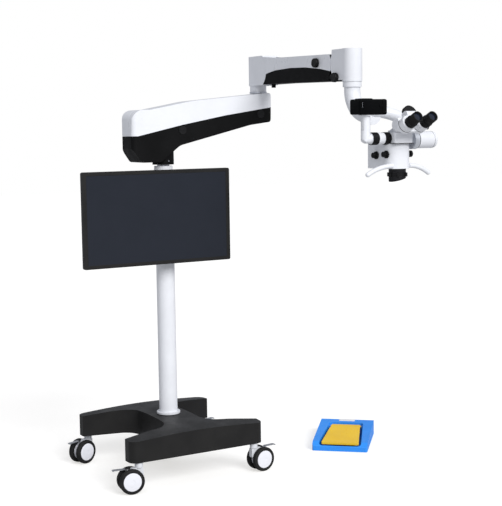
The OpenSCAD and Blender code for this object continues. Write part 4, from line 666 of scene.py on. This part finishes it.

# painted shade: dark rings that stand in for the shade in the gaps at the ends of the tilt hub: outer
# radius, start and end
tiltPlan = {
    "rings": {"tilt_washer": (0.0316, 0.0801, 0.0829), "tension_seam": (0.0308, 0.1482, 0.1493)},
    "inner": 0.0285, "edge": 0.0003,
}
for name, (outer, near, far) in tiltPlan["rings"].items():
    trimRing(name, placeOf["tilt"], (1, 0, 0), bodyOf["c_arm"], "black_knob", rubberAndSeamShade,
             tiltPlan["inner"], outer, near, far, tiltPlan["edge"])

# painted shade: dark rings that stand in for the shade in the seams between the prism drums and the plate
# that carries them
drumSeamShades = {
    "joints": {"drum_seal_0": "left_drum_turn", "drum_seal_2": "right_drum_turn"},
    "along": 0.03785,
    "ring": {"inner": 0.0240, "outer": 0.0274, "low": -0.0009, "high": 0.0006, "edge": 0.0002},
}
for name, joint in drumSeamShades["joints"].items():
    trimRing(name, placeOf[joint] + eyeLine * drumSeamShades["along"], eyeLine, "binocular", "black_knob",
             rubberAndSeamShade, **drumSeamShades["ring"])

# set screw in the hub of the first arm
hubScrew = {"place": (0.004, -0.0438, 1.283), "radius": 0.0032}
screw("hub_set_screw", hubScrew["place"], (0, -1, 0), hubScrew["radius"], "first_arm")

# foot pedal: a spot on its sloping top, from the pedal's own middle
pedalFrame = {"middle": (0.832, -0.083), "turn": -41.0, "low": 0.035, "high": 0.063, "deep": 0.334}
pedalTurn = math.radians(pedalFrame["turn"])
pedalTilt = math.atan((pedalFrame["high"] - pedalFrame["low"]) / pedalFrame["deep"])


def pedalSpot(x, y, lift):
    return (pedalFrame["middle"][0] + x * math.cos(pedalTurn) - y * math.sin(pedalTurn),
            pedalFrame["middle"][1] + x * math.sin(pedalTurn) + y * math.cos(pedalTurn),
            pedalFrame["low"] + (y + pedalFrame["deep"] / 2) * math.tan(pedalTilt) + lift)


# the bare plate at the pedal's back
platePlan = {"at": (-0.001, 0.1455, 0.0004), "size": (0.072, 0.026, 0.0016), "edge": 0.0006}
barePlate = block("pedal_plate", pedalSpot(*platePlan["at"]), platePlan["size"], platePlan["edge"],
                  segments=2, turnZ=pedalTurn, tiltX=pedalTilt)
settle(barePlate, "stand", whiteMoulding)

# rows of grip dots on the treadle: each row's Y and the X of its dots
gripDots = {
    "rows": [(0.000, (0.007, 0.031, 0.051)), (-0.032, (-0.005, 0.018, 0.042)), (-0.062, (0.030, 0.056)),
             (0.021, (-0.034, -0.010, 0.012, 0.034, 0.050))],
    "profile": [(0.0017, -0.0006), (0.0017, 0.0001), (0.00136, 0.0005), (0.00051, 0.0007)],
}
slopeUp = Vector((math.sin(pedalTurn) * math.sin(pedalTilt), -math.cos(pedalTurn) * math.sin(pedalTilt),
                  math.cos(pedalTilt)))
dots = []
for rowY, rowX in gripDots["rows"]:
    for dotX in rowX:
        dot = turned("dot", gripDots["profile"], segments=20)
        sendTo(dot, pedalSpot(dotX, rowY, 0.0), slopeUp)
        dots.append(dot)
settle(joinAll("treadle_grip_dots", dots), "treadle", treadleYellow)
print("pedal trimmed")

# back of the monitor: two fields of louvres, and the screws of its plate
monitorBack = {
    "louvre": (0.19, 0.0022, 0.0032), "louvreEdge": 0.0010, "louvresBack": 0.016,
    # each field's lowest louvre, pitch and count
    "fields": ((0.049, 0.0065, 9), (-0.1218, 0.0052, 5)),
    "screwOut": 0.05, "screwBack": 0.012, "screwRadius": 0.0042,
}
plateSpot = placeOf["monitor_tilt"]
louvres = []
for lowest, pitch, count in monitorBack["fields"]:
    for k in range(count):
        louvreSpot = plateSpot + Vector((0, -monitorBack["louvresBack"], lowest + k * pitch))
        louvres.append(block("louvre", louvreSpot, monitorBack["louvre"], monitorBack["louvreEdge"],
                             segments=2))
settle(joinAll("monitor_louvres", louvres), "monitor", blackMoulding)
for k, (sideX, sideZ) in enumerate(((-1, -1), (-1, 1), (1, -1), (1, 1))):
    screwOut = monitorBack["screwOut"]
    screwSpot = plateSpot + Vector((sideX * screwOut, -monitorBack["screwBack"], sideZ * screwOut))
    screw("plate_screw_%d" % k, screwSpot, (0, 1, 0), monitorBack["screwRadius"], "monitor")
print("monitor trimmed")

# nodes that keep their CAD shape, each with the radius and segments of its rounded edges
dressed = {
    "base_cover": (0.004, 3), "base_frame": (0.001, 1), "column_collar": (0.002, 3), "column": (0.0015, 2),
    "monitor_clamp": (0.0012, 2), "monitor_swivel": (0.0008, 2), "monitor_tilt_plate": (0.0008, 2),
    "arm_top_cover": (0.0015, 3), "arm_bottom_cover": (0.0015, 3), "arm_beam": (0.001, 2),
    "rear_knuckle": (0.004, 4), "spring_arm_shell": (0.0015, 3), "spring_arm_lower_cover": (0.0015, 3),
    "spring_arm_frame": (0.0008, 2), "parallel_link": (0.0006, 2), "gas_spring_cylinder": (0.0008, 2),
    "gas_spring_rod": (0.0005, 2), "front_knuckle": (0.002, 3), "suspension_tube": (0.0015, 3),
    "c_arm": (0.0015, 3), "tilt_flange": (0.0012, 2), "head_housing": (0.004, 3),
    "objective_barrel": (0.0008, 2), "beam_splitter": (0.0015, 3), "photo_adapter": (0.001, 2),
    "binocular_mount": (0.001, 2), "binocular_housing": (0.0012, 2), "left_prism_drum": (0.0, 2),
    "right_prism_drum": (0.0, 2), "handle_left": (0.0, 2), "handle_right": (0.0, 2),
    "pedal_base": (0.0015, 3), "pedal_treadle": (0.0012, 3), "tilt_tension_knob": (0.0025, 3),
    "column_brake_knob": (0.0012, 2), "elbow_brake_knob": (0.0012, 2),
    "magnification_changer": (0.0008, 2), "filter_knob": (0.0008, 2), "focus_ring": (0.001, 2),
    "pd_knob": (0.0008, 2), "objective_lens": (0.0004, 1), "monitor_housing": (0.002, 3),
    "monitor_screen": (0.0, 1),
}
for corner in casterSet["corners"]:
    dressed[corner + "_caster_fork"] = (0.0015, 3)
    dressed[corner + "_caster_brake"] = (0.0, 1)
for node, (edge, segments) in dressed.items():
    dressNode(node, edge, segments)
print("CAD nodes dressed:", len(dressed))

# mitred mirror elbow of the photo port, with its outer corner cut off
elbowPlan = {"radius": 0.0169, "below": 0.0179, "up": 0.030, "out": 0.024, "taper": 0.003, "sink": 0.0003,
             "corner": 0.015}
radius = elbowPlan["radius"]
up = elbowPlan["up"]
elbowUp = turned("elbow_up", [(radius, -elbowPlan["below"]), (radius, up - elbowPlan["taper"]),
                              (radius - elbowPlan["sink"], up)], segments=96)
cutOff(sendTo(elbowUp, elbowSpot, (0, 0, 1)), elbowSpot, (1, 0, -1))
elbowOut = turned("elbow_out", [(radius, -elbowPlan["below"]), (radius, elbowPlan["out"])], segments=96)
cutOff(sendTo(elbowOut, elbowSpot, (1, 0, 0)), elbowSpot, (-1, 0, 1))
cornerSpot = elbowSpot + Vector((elbowPlan["corner"] - radius, 0, -radius))
for piece in (elbowUp, elbowOut, bpy.data.objects["photo_adapter_skin"]):
    cutOff(piece, cornerSpot, (-1, 0, -1))
adapterSlot = slotOf["photo_adapter"]
settle(joinAll("photo_elbow", [elbowUp, elbowOut]), bodyOf["photo_adapter"],
       finishOfSlot[adapterSlot])
print("elbow closed")
